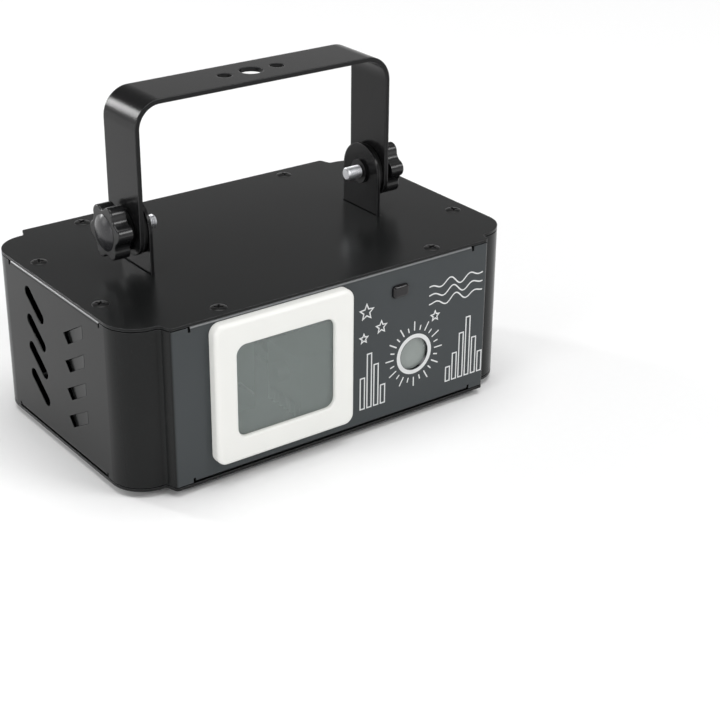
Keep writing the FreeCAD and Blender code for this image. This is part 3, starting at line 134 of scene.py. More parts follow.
class Graph:
    """Node tree of a material or of the world."""

    def __init__(self, tree: bpy.types.NodeTree) -> None:
        """Start from an empty tree."""
        self.tree = tree
        self.tree.nodes.clear()

    def node(self, kind: str, settings: Optional[dict[str, Any]] = None,
             inputs: Optional[dict[Union[str, int], Any]] = None, output: Union[str, int] = 0) -> Signal:
        """Add one node.

        Args:
            kind: Node type.
            settings: Properties of the node, set first. "stops" holds the stops of a ramp.
            inputs: Values or signals for the sockets, by name or number.
            output: Socket that is handed back.

        Returns:
            The chosen output, or the first input of a node without outputs.
        """
        made = self.tree.nodes.new(kind)
        for key, value in (settings or {}).items():
            if key == "stops":
                self._set_stops(made.color_ramp, value)
            else:
                setattr(made, key, value)
        for key, value in (inputs or {}).items():
            if isinstance(value, Signal):
                self.tree.links.new(value.socket, made.inputs[key])
            else:
                made.inputs[key].default_value = value
        return Signal(self, made.outputs[output] if len(made.outputs) else made.inputs[0])

    @staticmethod
    def _set_stops(ramp: bpy.types.ColorRamp, stops: Stops) -> None:
        """Give a ramp its grey stops.

        Args:
            ramp: Ramp of a node.
            stops: Place and grey level of each stop, in order.
        """
        while len(ramp.elements) < len(stops):
            ramp.elements.new(1.0)
        for element, (place, level) in zip(ramp.elements, stops):
            element.position = place
            element.color = (level, level, level, 1.0)

    def place(self, stretch: Triple = EVEN) -> Signal:
        """Point on the piece in its own frame, in metres, times a factor along each axis."""
        spot = self.node("ShaderNodeTexCoord", output="Object")
        return spot if stretch == EVEN else self.node(
            "ShaderNodeVectorMath", {"operation": "MULTIPLY"}, {0: spot, 1: stretch})

    def axis(self, letter: str) -> Signal:
        """One coordinate of the point on the piece, in metres."""
        return self.node("ShaderNodeSeparateXYZ", inputs={0: self.place()}, output=letter)

    def facing(self, letter: str) -> Signal:
        """One part of the surface's normal."""
        normal = self.node("ShaderNodeNewGeometry", output="Normal")
        return self.node("ShaderNodeSeparateXYZ", inputs={0: normal}, output=letter)

    def noise(self, grain: float, detail: float = 3.0, rough: float = 0.55, stretch: Triple = EVEN) -> Signal:
        """Soft random pattern round one half, with its grain in metres and the number and weight of finer layers."""
        return self.node("ShaderNodeTexNoise", None, {"Vector": self.place(stretch), "Scale": 1.0 / grain,
                                                      "Detail": detail, "Roughness": rough})

    def ramp(self, signal: Signal, stops: Stops) -> Signal:
        """Signal bent through grey stops."""
        return self.node("ShaderNodeValToRGB", {"stops": stops}, {0: signal})

    def mix(self, factor: Signal, low: Union[Signal, Colour], high: Union[Signal, Colour]) -> Signal:
        """Colour between two others, by the share of the second."""
        start, end = [value if isinstance(value, Signal) else (*value, 1.0) for value in (low, high)]
        return self.node("ShaderNodeMix", {"data_type": "RGBA"}, {MIX_FACTOR: factor, MIX_LOW: start, MIX_HIGH: end},
                         MIX_RESULT)

    def shifted(self, colour: Colour, signal: Signal, swing: float) -> Signal:
        """Colour that drifts a little lighter and darker.

        Args:
            colour: Middle colour.
            signal: Pattern round one half.
            swing: Share by which the colour drifts.

        Returns:
            Drifting colour.
        """
        dark = tuple(part * (1 - swing) for part in colour)
        light = tuple(min(1.0, part * (1 + swing)) for part in colour)
        return self.mix(signal, dark, light)

    def bump(self, height: Signal, depth: float, normal: Optional[Signal] = None) -> Signal:
        """Normal tipped by a height pattern.

        Args:
            height: Pattern from zero to one.
            depth: Height of the pattern in metres.
            normal: Normal to start from.

        Returns:
            Tipped normal.
        """
        inputs: dict[Union[str, int], Any] = {"Height": height, "Distance": depth}
        if normal is not None:
            inputs["Normal"] = normal
        return self.node("ShaderNodeBump", None, inputs)

    def soft_edge(self, radius: float) -> tuple[Signal, Signal]:
        """Normal rounded at the piece's edges, and a mask of those edges.

        Args:
            radius: Radius of the rounding.

        Returns:
            Rounded normal, and a mask that is above zero near edges.
        """
        rounded = self.node("ShaderNodeBevel", {"samples": EDGE_SAMPLES}, {"Radius": radius})
        flat = self.node("ShaderNodeNewGeometry", output="Normal")
        along = self.node("ShaderNodeVectorMath", {"operation": "DOT_PRODUCT"}, {0: rounded, 1: flat}, "Value")
        return rounded, 1 - along

    def principled(self, **sockets: Any) -> Signal:
        """Main shader, with sockets named in words joined by underscores."""
        inputs = {SOCKET_NAMES.get(key, key.replace("_", " ").title()): value for key, value in sockets.items()}
        return self.node("ShaderNodeBsdfPrincipled", None, inputs)

    def close(self, shader: Signal) -> None:
        """Lead the shader to the output."""
        self.node("ShaderNodeOutputMaterial", None, {"Surface": shader})


@dataclass(frozen=True)
class Finish:
    """Surface of a group of pieces."""

    name: str

    def shade(self, graph: Graph) -> Signal:
        """Build the shader."""
        raise NotImplementedError

    def material(self) -> bpy.types.Material:
        """Material of this finish, made once."""
        found = bpy.data.materials.get(self.name)
        if found is not None:
            return found
        made = bpy.data.materials.new(self.name)
        made.use_nodes = True
        graph = Graph(made.node_tree)
        graph.close(self.shade(graph))
        return made


@dataclass(frozen=True)
class PowderCoat(Finish):
    """Satin powder coat with fine grain, a faint orange peel, edges painted paler as a painted highlight, and a lighter
    colour on the front panel's face as painted light.

    Surfaces tilted part way up, such as the tight folds of the shell, are painted paler as a painted highlight.
    """

    colour: Colour
    front_painted_light_colour: Colour
    fleck_and_edge_highlight_colour: Colour
    fold_highlight_colour: Colour
    roughness: float
    grain: float
    grain_depth: float
    specular: float
    edge: float
    cloud_size: float = 60.0 * MM
    peel_grains: float = 7.0
    front_reach: float = 0.5 * MM
    swing: float = 0.16
    front_swing: float = 0.10
    speck_stops: Stops = ((0.60, 0.0), (0.74, 1.0))
    speck_share: float = 0.08
    edge_highlight_stops: Stops = ((0.02, 0.0), (0.22, 1.0))
    edge_highlight_share: float = 0.5
    fold_highlight_stops: Stops = ((0.36, 0.0), (0.56, 1.0), (0.78, 1.0), (0.90, 0.0))

    def shade(self, graph: Graph) -> Signal:
        """Build the shader."""
        fine = graph.noise(self.grain, detail=2.0, rough=0.6)
        peel = graph.noise(self.grain * self.peel_grains, detail=2.0)
        cloud = graph.noise(self.cloud_size)
        rounded, edge = graph.soft_edge(self.edge)
        # Painted highlight: edges are painted paler, with a share that varies with the peel pattern.
        edge_highlight = graph.ramp(edge * (0.6 + 0.8 * peel), self.edge_highlight_stops)
        # Painted light: a lighter colour on the front panel's face stands in for the light it catches.
        front = graph.ramp((PANEL_FRONT + self.front_reach - graph.axis("Y")) * (1 / self.front_reach), RISING)
        coat = graph.mix(front, graph.shifted(self.colour, cloud, self.swing),
                         graph.shifted(self.front_painted_light_colour, cloud, self.front_swing))
        speck = graph.ramp(fine, self.speck_stops)
        flecked = graph.mix(speck * self.speck_share, coat, self.fleck_and_edge_highlight_colour)
        # Painted highlight: surfaces tilted part way up, such as the folds, are painted paler.
        fold_highlight = graph.ramp(graph.facing("Z"), self.fold_highlight_stops)
        with_fold_highlight = graph.mix(fold_highlight, flecked, self.fold_highlight_colour)
        return graph.principled(
            base_color=graph.mix(edge_highlight * self.edge_highlight_share, with_fold_highlight, self.fleck_and_edge_highlight_colour),
            roughness=self.roughness + 0.03 * (peel - 0.5) + 0.05 * (cloud - 0.5),
            specular_ior_level=self.specular,
            normal=graph.bump(0.7 * fine + 0.3 * peel, self.grain_depth, rounded))


@dataclass(frozen=True)
class MouldedPlastic(Finish):
    """Moulded plastic with a fine spark-eroded grain, soft edges and a gloss of its own on faces turned to the side."""

    colour: Colour
    roughness: float
    grain: float
    grain_depth: float
    face_roughness: float
    edge: float
    flow_size: float = 30.0 * MM
    flow_stretch: Triple = (1.0, 1.0, 0.35)
    flow_swing: float = 0.05
    face_stops: Stops = ((0.90, 0.0), (0.98, 1.0))

    def shade(self, graph: Graph) -> Signal:
        """Build the shader."""
        fine = graph.noise(self.grain, detail=2.0)
        flow = graph.noise(self.flow_size, detail=2.0, rough=0.5, stretch=self.flow_stretch)
        rounded, rim = graph.soft_edge(self.edge)
        face = graph.ramp(abs(graph.facing("X")), self.face_stops)
        flat = (self.face_roughness - self.roughness) * face
        return graph.principled(
            base_color=graph.shifted(self.colour, flow, self.flow_swing),
            roughness=self.roughness + flat + 0.08 * (fine - 0.5) - 0.06 * rim,
            normal=graph.bump(fine, self.grain_depth, rounded))


@dataclass(frozen=True)
class PaneGlass(Finish):
    """Pane with a faint tint, a thin haze and small dust on it."""

    tint: Colour
    haze: Colour
    haze_share: float
    roughness: float
    smear_size: float = 20.0 * MM
    smear_stretch: Triple = (1.0, 1.0, 0.4)
    dust_size: float = 1.2 * MM
    dust_stops: Stops = ((0.70, 0.0), (0.78, 1.0))
    dust_share: float = 0.5
    dust_colour: Colour = (0.72, 0.74, 0.72)
    ior: float = 1.45

    def shade(self, graph: Graph) -> Signal:
        """Build the shader."""
        smear = graph.noise(self.smear_size, detail=4.0, rough=0.6, stretch=self.smear_stretch)
        dust = graph.ramp(graph.noise(self.dust_size, detail=2.0), self.dust_stops)
        clear = graph.principled(base_color=(*self.tint, 1.0), roughness=self.roughness + 0.04 * smear,
                                 transmission_weight=1.0, ior=self.ior)
        hazed = graph.shifted(self.haze, smear, 0.12)
        film = graph.principled(base_color=graph.mix(dust * self.dust_share, hazed, self.dust_colour),
                                roughness=0.16 + 0.1 * smear)
        return graph.node("ShaderNodeMixShader", None, {0: self.haze_share, 1: clear, 2: film})


@dataclass(frozen=True)
class DarkPane(Finish):
    """Dark gloss pane that lets only infrared or a display's light through."""

    colour: Colour
    smear_size: float = 6.0 * MM
    edge: float = 1.0 * MM

    def shade(self, graph: Graph) -> Signal:
        """Build the shader."""
        smear = graph.noise(self.smear_size)
        rounded, _ = graph.soft_edge(self.edge)
        return graph.principled(base_color=graph.shifted(self.colour, smear, 0.2), roughness=0.04 + 0.06 * smear,
                                normal=rounded, specular_ior_level=0.45)


@dataclass(frozen=True)
class Metal(Finish):
    """Bare or plated metal with fine lines along one direction."""

    colour: Colour
    roughness: float
    lines: Triple
    line_depth: float
    metallic: float = 1.0
    line_size: float = 1.2 * MM
    stain_size: float = 8.0 * MM
    edge: float = 0.2 * MM

    def shade(self, graph: Graph) -> Signal:
        """Build the shader."""
        line = graph.noise(self.line_size, rough=0.6, stretch=self.lines)
        stain = graph.noise(self.stain_size)
        rounded, edge = graph.soft_edge(self.edge)
        return graph.principled(
            base_color=graph.shifted(self.colour, 0.6 * stain + 0.4 * line, 0.10), metallic=self.metallic,
            roughness=self.roughness + 0.12 * (line - 0.5) + 0.14 * (stain - 0.5) - 0.05 * edge,
            normal=graph.bump(line, self.line_depth, rounded))


@dataclass(frozen=True)
class BlackenedSteel(Finish):
    """Blackened steel with bare spots at sharp edges."""

    colour: Colour
    bare: Colour
    roughness: float
    stain_size: float = 1.5 * MM
    stain_depth: float = 0.02 * MM
    edge: float = 0.15 * MM
    rub_stops: Stops = ((0.18, 0.0), (0.45, 1.0))
    rub_share: float = 0.5

    def shade(self, graph: Graph) -> Signal:
        """Build the shader."""
        stain = graph.noise(self.stain_size)
        rounded, edge = graph.soft_edge(self.edge)
        rub = graph.ramp(edge * (0.5 + stain), self.rub_stops)
        return graph.principled(
            base_color=graph.mix(rub * self.rub_share, graph.shifted(self.colour, stain, 0.25), self.bare),
            metallic=0.35 + 0.5 * rub, roughness=self.roughness + 0.15 * (stain - 0.5),
            normal=graph.bump(stain, self.stain_depth, rounded))


@dataclass(frozen=True)
class Rubber(Finish):
    """Matt rubber with a dusty bloom."""

    colour: Colour
    grain: float = 0.6 * MM
    grain_depth: float = 0.03 * MM
    bloom_size: float = 4.0 * MM
    edge: float = 0.3 * MM

    def shade(self, graph: Graph) -> Signal:
        """Build the shader."""
        grain = graph.noise(self.grain)
        bloom = graph.noise(self.bloom_size)
        rounded, _ = graph.soft_edge(self.edge)
        return graph.principled(base_color=graph.shifted(self.colour, bloom, 0.35),
                                roughness=0.78 + 0.12 * (bloom - 0.5), specular_ior_level=0.3,
                                normal=graph.bump(grain, self.grain_depth, rounded))


@dataclass(frozen=True)
class CoatedMirror(Finish):
    """Front-coated scanner mirror with a faint film."""

    colour: Colour
    film_size: float = 3.0 * MM

    def shade(self, graph: Graph) -> Signal:
        """Build the shader."""
        film = graph.noise(self.film_size)
        return graph.principled(base_color=graph.shifted(self.colour, film, 0.04), metallic=1.0,
                                roughness=0.03 + 0.03 * film)


@dataclass(frozen=True)
class CircuitBoard(Finish):
    """Circuit board with solder mask over copper tracks and bright pads."""

    mask: Colour
    track: Colour
    pad: Colour
    tracks_per_metre: float = 260.0
    track_stops: Stops = ((0.05, 1.0), (0.09, 0.0))
    track_share: float = 0.8
    track_height: float = 0.03 * MM
    pads_per_metre: float = 330.0
    pad_stops: Stops = ((0.16, 1.0), (0.19, 0.0))
    mask_size: float = 10.0 * MM

    def shade(self, graph: Graph) -> Signal:
        """Build the shader."""
        cell = graph.node("ShaderNodeTexVoronoi", {"distance": "MANHATTAN", "feature": "DISTANCE_TO_EDGE"},
                          {"Vector": graph.place(), "Scale": self.tracks_per_metre})
        spot = graph.node("ShaderNodeTexVoronoi", {"distance": "CHEBYCHEV"},
                          {"Vector": graph.place(), "Scale": self.pads_per_metre})
        line = graph.ramp(cell, self.track_stops)
        dot = graph.ramp(spot, self.pad_stops)
        mask = graph.shifted(self.mask, graph.noise(self.mask_size), 0.12)
        laid = graph.mix(line * self.track_share, mask, self.track)
        return graph.principled(base_color=graph.mix(dot, laid, self.pad), metallic=0.9 * dot,
                                roughness=0.36 - 0.12 * dot, normal=graph.bump(line, self.track_height))


@dataclass(frozen=True)
class PrintInk(Finish):
    """Screen-printed ink with a slightly uneven film."""

    colour: Colour
    mesh_size: float = 0.3 * MM
    mesh_depth: float = 0.01 * MM
    film_size: float = 5.0 * MM

    def shade(self, graph: Graph) -> Signal:
        """Build the shader."""
        mesh = graph.noise(self.mesh_size, detail=2.0)
        film = graph.noise(self.film_size)
        return graph.principled(base_color=graph.shifted(self.colour, 0.5 * mesh + 0.5 * film, 0.07),
                                roughness=0.5 + 0.15 * (film - 0.5), normal=graph.bump(mesh, self.mesh_depth))


@dataclass(frozen=True)
class StudioFloor(Finish):
    """Pale matt paper of the studio's floor."""

    colour: Colour
    fibre_size: float = 4.0 * MM
    roughness: float = 0.9

    def shade(self, graph: Graph) -> Signal:
        """Build the shader."""
        fibre = graph.noise(self.fibre_size)
        return graph.principled(base_color=graph.shifted(self.colour, fibre, 0.01), roughness=self.roughness,
                                specular_ior_level=0.0)


COAT: Colour = (0.0070, 0.0075, 0.0075)
YOKE_COAT: Colour = (0.0070, 0.0070, 0.0073)

# The edge colour serves for the grain's flecks and as a painted highlight on edges.
POWDER_BLACK = PowderCoat(
    "powder_black", colour=COAT, front_painted_light_colour=COAT, fleck_and_edge_highlight_colour=(0.14, 0.14, 0.145), fold_highlight_colour=COAT, roughness=0.25,
    grain=0.45 * MM, grain_depth=0.0035 * MM, specular=0.20, edge=0.4 * MM)
# The shell's fold colour is a painted highlight on its folds.
# The shell's front colour is painted light on the front panel's face.
SHELL_BLACK = replace(
    POWDER_BLACK, name="shell_black", front_painted_light_colour=(0.050, 0.056, 0.059), fleck_and_edge_highlight_colour=(0.10, 0.10, 0.103),
    fold_highlight_colour=(0.24, 0.245, 0.25), roughness=0.22)
# Painted shade: a copy of the shell's coat with weaker reflection, darker for the shade in the louvres' pockets.
LOUVRE_SHADED_BLACK = replace(SHELL_BLACK, name="louvre_black", specular=0.15)
YOKE_BLACK = PowderCoat(
    "yoke_black", colour=YOKE_COAT, front_painted_light_colour=YOKE_COAT, fleck_and_edge_highlight_colour=(0.10, 0.10, 0.103), fold_highlight_colour=YOKE_COAT,
    roughness=0.23, grain=0.75 * MM, grain_depth=0.010 * MM, specular=0.18, edge=0.8 * MM)
FRAME_WHITE = MouldedPlastic(
    "frame_white", colour=(0.83, 0.83, 0.80), roughness=0.36, face_roughness=0.36, grain=0.5 * MM,
    grain_depth=0.006 * MM, edge=0.4 * MM)
KNOB_BLACK = MouldedPlastic(
    "knob_black", colour=(0.006, 0.006, 0.0065), roughness=0.26, face_roughness=0.42, grain=0.6 * MM,
    grain_depth=0.004 * MM, edge=0.4 * MM)
CAP_BLACK = MouldedPlastic(
    "cap_black", colour=(0.022, 0.022, 0.024), roughness=0.26, face_roughness=0.26, grain=0.7 * MM,
    grain_depth=0.004 * MM, edge=0.3 * MM)
SOCKET_BLACK = MouldedPlastic(
    "socket_black", colour=(0.024, 0.024, 0.024), roughness=0.5, face_roughness=0.5, grain=0.4 * MM,
    grain_depth=0.02 * MM, edge=0.25 * MM)
BUTTON_GREY = MouldedPlastic(
    "button_grey", colour=(0.10, 0.10, 0.105), roughness=0.42, face_roughness=0.42, grain=0.4 * MM,
    grain_depth=0.015 * MM, edge=0.3 * MM)
WINDOW_PANE = PaneGlass(
    "window_pane", tint=(0.80, 0.87, 0.84), haze=(0.30, 0.345, 0.33), haze_share=0.39, roughness=0.02)
OUTLET_PANE = PaneGlass(
    "outlet_pane", tint=(0.80, 0.86, 0.83), haze=(0.40, 0.44, 0.42), haze_share=0.62, roughness=0.25)
GRATING_FILM = PaneGlass(
    "grating_film", tint=(0.82, 0.86, 0.90), haze=(0.50, 0.52, 0.55), haze_share=0.35, roughness=0.1)
SENSOR_DARK = DarkPane("sensor_dark", colour=(0.005, 0.004, 0.005))
SCREW_BLACK = BlackenedSteel("screw_black", colour=(0.006, 0.006, 0.006), bare=(0.20, 0.20, 0.21), roughness=0.34)
ZINC = Metal(
    "zinc", colour=(0.96, 0.96, 0.96), roughness=0.34, lines=(0.2, 1.0, 1.0), line_depth=0.01 * MM, metallic=0.5)
CHROME = Metal("chrome", colour=(0.70, 0.71, 0.73), roughness=0.16, lines=EVEN, line_depth=0.004 * MM)
BRASS = Metal("brass", colour=(0.83, 0.63, 0.30), roughness=0.22, lines=(1.0, 0.2, 1.0), line_depth=0.008 * MM)
MILLED = Metal(
    "milled_aluminium", colour=(0.74, 0.75, 0.77), roughness=0.34, lines=(0.08, 1.0, 1.0), line_depth=0.02 * MM)
FOOT_RUBBER = Rubber("foot_rubber", colour=(0.009, 0.009, 0.009))
MIRROR = CoatedMirror("scanner_mirror", colour=(0.92, 0.93, 0.94))
BOARD_GREEN = CircuitBoard("board_green", mask=(0.010, 0.085, 0.030), track=(0.020, 0.16, 0.06), pad=(0.72, 0.70, 0.66))
INK_WHITE = PrintInk("ink_white", colour=(0.70, 0.71, 0.71))
FLOOR_WHITE = StudioFloor("floor_white", colour=(0.93, 0.93, 0.93))


def added(name: str, data: bpy.types.ID) -> bpy.types.Object:
    """New object in the scene.

    Args:
        name: Name of the object.
        data: Mesh, lamp or camera that it shows.

    Returns:
        The object.
    """
    made = bpy.data.objects.new(name, data)
    bpy.context.scene.collection.objects.link(made)
    return made


def dress(finish: Finish, *nodes: str) -> None:
    """Give CAD nodes one finish.

    Args:
        finish: Surface to apply.
        nodes: Names of the nodes.
    """
    for name in nodes:
        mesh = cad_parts[name].data
        mesh.materials.clear()
        mesh.materials.append(finish.material())
        LOG.info("%s in %s", name, finish.name)


def solids(node: str) -> list[tuple[Vector, Vector]]:
    """Boxes of the separate solids in one CAD node.

    Args:
        node: Name of the node.

    Returns:
        Lowest and highest corner of each solid.
    """
    shape = bmesh.new()
    shape.from_mesh(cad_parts[node].data)
    bmesh.ops.remove_doubles(shape, verts=shape.verts, dist=WELD)
    boxes, seen = [], set()
    for first in shape.verts:
        if first in seen:
            continue
        group, queue = [], [first]
        seen.add(first)
        while queue:
            here = queue.pop()
            group.append(here.co.copy())
            for edge in here.link_edges:
                other = edge.other_vert(here)
                if other not in seen:
                    seen.add(other)
                    queue.append(other)
        boxes.append((Vector([min(point[k] for point in group) for k in range(3)]),
                      Vector([max(point[k] for point in group) for k in range(3)])))
    shape.free()
    return boxes


def piece(name: str, shape: bmesh.types.BMesh, finish: Finish, body: str,
          smooth: bool = True) -> bpy.types.Object:
    """Turn a mesh into a piece that rides on a body.

    Args:
        name: Name of the piece.
        shape: Mesh, freed here.
        finish: Surface of the piece.
        body: Body that carries it.
        smooth: Whether its faces are shaded as one surface, apart from sharp edges.

    Returns:
        The new object.
    """
    bmesh.ops.recalc_face_normals(shape, faces=shape.faces)
    mesh = bpy.data.meshes.new(name)
    shape.to_mesh(mesh)
    shape.free()
    mesh.materials.append(finish.material())
    made = added(name, mesh)
    if smooth:
        mesh.shade_smooth()
        mesh.set_sharp_from_angle(angle=SHARP_ANGLE)
    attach(made, body)
    LOG.info("%s: %d faces", name, len(mesh.polygons))
    return made


def ring_of(shape: bmesh.types.BMesh, radius: float, level: float, count: int) -> list[bmesh.types.BMVert]:
    """Ring of points round the Z axis, in order."""
    return [shape.verts.new((radius * math.cos(TURN * k / count), radius * math.sin(TURN * k / count), level))
            for k in range(count)]


def bridge(shape: bmesh.types.BMesh, low: Sequence[bmesh.types.BMVert],
           high: Sequence[bmesh.types.BMVert]) -> None:
    """Faces between two closed loops with the same number of points."""
    for k in range(len(low)):
        after = (k + 1) % len(low)
        shape.faces.new((low[k], low[after], high[after], high[k]))


@dataclass
class ScrewSet:
    """Cross-recess screws in the place of one CAD node's plain ones."""

    node: str
    head: Head
    out: Vector
    shank: float = 1.75 * MM
    tip: float = 0.4 * MM
    dome: float = 0.7 * MM
    dome_shares: tuple[float, ...] = (0.62, 0.74, 0.85, 0.93)
    rim_width: float = 0.06 * MM
    rim_height: float = 0.1 * MM
    pan_shape: tuple[Spot, ...] = ((0.66, 0.0), (0.86, 0.16), (0.96, 0.42), (1.0, 0.8), (1.0, 1.8))
    recess_span: float = 4.3 * MM
    recess_width: float = 1.1 * MM
    recess_depth: float = 1.2 * MM
    recess_taper: float = 0.72
    first_turn: float = 0.7
    turn_per_metre: float = 37.0
    segments: int = 36

    def build(self) -> bpy.types.Object:
        """Model all screws of the set in one mesh.

        Returns:
            The piece that stands for the node.
        """
        shape = bmesh.new()
        for low, high in solids(self.node):
            self._screw(shape, low, high)
        made = piece(self.node + "_cross", shape, SCREW_BLACK, "housing")
        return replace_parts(made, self.node)

    def _profile(self, radius: float, length: float) -> list[Spot]:
        """Side view of a screw from the edge of its flat face down.

        Args:
            radius: Radius of the head.
            length: Whole length.

        Returns:
            Radius and depth of each corner.
        """
        end = [(self.shank, length - self.tip), (self.shank - self.tip, length)]
        if self.head is Head.PAN:
            side = [(share * radius, depth * MM) for share, depth in self.pan_shape]
            return side + [(self.shank, side[-1][1])] + end
        ball = (radius ** 2 + self.dome ** 2) / (2 * self.dome)
        cap = [(share * radius, ball - math.sqrt(ball ** 2 - (share * radius) ** 2)) for share in self.dome_shares]
        rim = [(radius - self.rim_width, self.dome), (radius, self.dome + self.rim_height)]
        return cap + rim + [(self.shank, self.dome + radius - self.shank)] + end

    def _screw(self, shape: bmesh.types.BMesh, low: Vector, high: Vector) -> None:
        """Add one screw, turned to an angle of its own.

        Args:
            shape: Mesh that gets the screw.
            low: Lowest corner of the plain screw.
            high: Highest corner of the plain screw.
        """
        along = max(range(3), key=lambda k: abs(self.out[k]))
        across = [k for k in range(3) if k != along]
        size = high - low
        radius = min(size[k] for k in across) / 2
        face = (low + high) / 2
        face[along] = high[along] if self.out[along] > 0 else low[along]
        part = bmesh.new()
        span, width = self.recess_span / 2, self.recess_width / 2
        corner = [(width, span), (-width, span), (-width, width), (-span, width), (-span, -width), (-width, -width),
                  (-width, -span), (width, -span), (width, -width), (span, -width), (span, width), (width, width)]
        profile = self._profile(radius, size[along])
        top = -profile[0][1]
        rings = [ring_of(part, r, -d, self.segments) for r, d in profile]
        mouth = [part.verts.new((x, y, top)) for x, y in corner]
        floor = [part.verts.new((self.recess_taper * x, self.recess_taper * y, top - self.recess_depth))
                 for x, y in corner]
        rims = [part.edges.new((loop[k], loop[(k + 1) % len(loop)])) for loop in (rings[0], mouth)
                for k in range(len(loop))]
        bmesh.ops.triangle_fill(part, use_beauty=True, edges=rims)
        bridge(part, mouth, floor)
        part.faces.new(floor)
        for upper, lower in zip(rings, rings[1:]):
            bridge(part, upper, lower)
        part.faces.new(rings[-1])
        turn = Vector((0, 0, 1)).rotation_difference(self.out).to_matrix().to_4x4()
        spin = Matrix.Rotation(self.first_turn + self.turn_per_metre * (face.x + face.y + face.z), 4, "Z")
        part.transform(Matrix.Translation(face) @ turn @ spin)
        mesh = bpy.data.meshes.new("screw")
        part.to_mesh(mesh)
        part.free()
        shape.from_mesh(mesh)
        bpy.data.meshes.remove(mesh)


@dataclass
class StudThread:
    """Clamp stud with its thread cut, in the place of the plain one."""

    side: Side
    pitch: float = 1.0 * MM
    depth: float = 0.54 * MM
    chamfer: float = 0.6 * MM
    crest_cut: float = 1.25
    threaded: float = 10.0 * MM
    steps_round: int = 36
    steps_pitch: int = 8

    def build(self) -> bpy.types.Object:
        """Model the stud.

        Returns:
            The piece that stands for the CAD stud.
        """
        node = self.side.word + "_stud"
        low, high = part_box(node)
        radius, axis_z = (high.z - low.z) / 2, (high.z + low.z) / 2
        tip = low.x if self.side is Side.RIGHT else high.x
        length = high.x - low.x
        shape = bmesh.new()
        rows = round(self.threaded / self.pitch * self.steps_pitch)
        stations = [row * self.pitch / self.steps_pitch for row in range(rows + 1)] + [length]
        loops = [[shape.verts.new(self._point(tip, axis_z, radius, along, k)) for k in range(self.steps_round)]
                 for along in stations]
        for near, far in zip(loops, loops[1:]):
            bridge(shape, near, far)
        shape.faces.new(loops[0])
        shape.faces.new(loops[-1])
        made = piece(node + "_thread", shape, ZINC, self.side.word + "_knob_body")
        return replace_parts(made, node)

    def _point(self, tip: float, axis_z: float, radius: float, along: float, k: int) -> Vector:
        """Point on the stud's surface.

        Args:
            tip: X of the free end.
            axis_z: Height of the axis.
            radius: Outer radius.
            along: Distance from the free end.
            k: Step round the axis.

        Returns:
            The point in the row frame.
        """
        angle = TURN * k / self.steps_round
        phase = (along / self.pitch - k / self.steps_round) % 1.0
        crest = min(1.0, self.crest_cut * (1 - abs(2 * phase - 1)))
        reach = radius if along >= self.threaded else radius - self.depth * (1 - crest)
        reach = min(reach, radius - self.chamfer + along)
        return Vector((tip + self.side.value * along, reach * math.cos(angle), axis_z + reach * math.sin(angle)))


class Stroke:
    """Printed lines on the front panel, drawn as thin ribbons."""

    LEAST_MITRE = 0.45
    CAP_STEPS = 5
    RING_STEPS = 72

    def __init__(self, level: float, width: float) -> None:
        """Start an empty drawing.

        Args:
            level: Y of the panel's face.
            width: Width of the lines.
        """
        self.level = level
        self.width = width
        self.shape = bmesh.new()

    def _vert(self, spot: Vector) -> bmesh.types.BMVert:
        """Point of the drawing on the panel."""
        return self.shape.verts.new((spot.x, self.level, spot.y))

    def line(self, spots: Sequence[Spot], closed: bool = False) -> None:
        """Draw a line through points.

        Args:
            spots: X and Z of each point, in metres.
            closed: Whether the last point joins the first.
        """
        points = [Vector(spot) for spot in spots]
        count = len(points)
        left, right = [], []
        for k, here in enumerate(points):
            before = points[k - 1] if closed or k else here
            after = points[(k + 1) % count] if closed or k < count - 1 else here
            arriving = (here - before).normalized() if before != here else (after - here).normalized()
            leaving = (after - here).normalized() if after != here else arriving
            way = (arriving + leaving).normalized()
            side = Vector((-way.y, way.x))
            reach = self.width / 2 / max(self.LEAST_MITRE, side.dot(Vector((-arriving.y, arriving.x))))
            left.append(self._vert(here + side * reach))
            right.append(self._vert(here - side * reach))
        for k in range(count if closed else count - 1):
            after = (k + 1) % count
            self.shape.faces.new((left[k], left[after], right[after], right[k]))
        if not closed:
            self._cap(left[0], right[0], points[0], points[1])
            self._cap(right[-1], left[-1], points[-1], points[-2])

    def _cap(self, first: bmesh.types.BMVert, last: bmesh.types.BMVert, end: Vector, inner: Vector) -> None:
        """Round the end of a line.

        Args:
            first: One corner of the end.
            last: The other corner.
            end: Middle of the end.
            inner: Next point of the line.
        """
        away = (end - inner).normalized()
        across = Vector((first.co.x, first.co.z)) - end
        arc = [first]
        for k in range(1, self.CAP_STEPS):
            angle = math.pi * k / self.CAP_STEPS
            arc.append(self._vert(end + across * math.cos(angle) + away * across.length * math.sin(angle)))
        self.shape.faces.new(arc + [last])

    def ring(self, middle: Spot, inner: float, outer: float) -> None:
        """Draw a plain ring.

        Args:
            middle: X and Z of its middle.
            inner: Inner radius.
            outer: Outer radius.
        """
        turns = [TURN * k / self.RING_STEPS for k in range(self.RING_STEPS)]
        ways = [Vector((math.cos(angle), math.sin(angle))) for angle in turns]
        loops = [[self._vert(Vector(middle) + way * radius) for way in ways] for radius in (inner, outer)]
        bridge(self.shape, *loops)

    def finish(self, name: str, thickness: float) -> bpy.types.Object:
        """Turn the drawing into a piece.

        Args:
            name: Name of the piece.
            thickness: Thickness of the ink.

        Returns:
            The piece on the housing.
        """
        bmesh.ops.translate(self.shape, verts=self.shape.verts, vec=(0, -thickness, 0))
        made = piece(name, self.shape, INK_WHITE, "housing", smooth=False)
        for polygon in made.data.polygons:
            if polygon.normal.y > 0:
                polygon.flip()
        return made


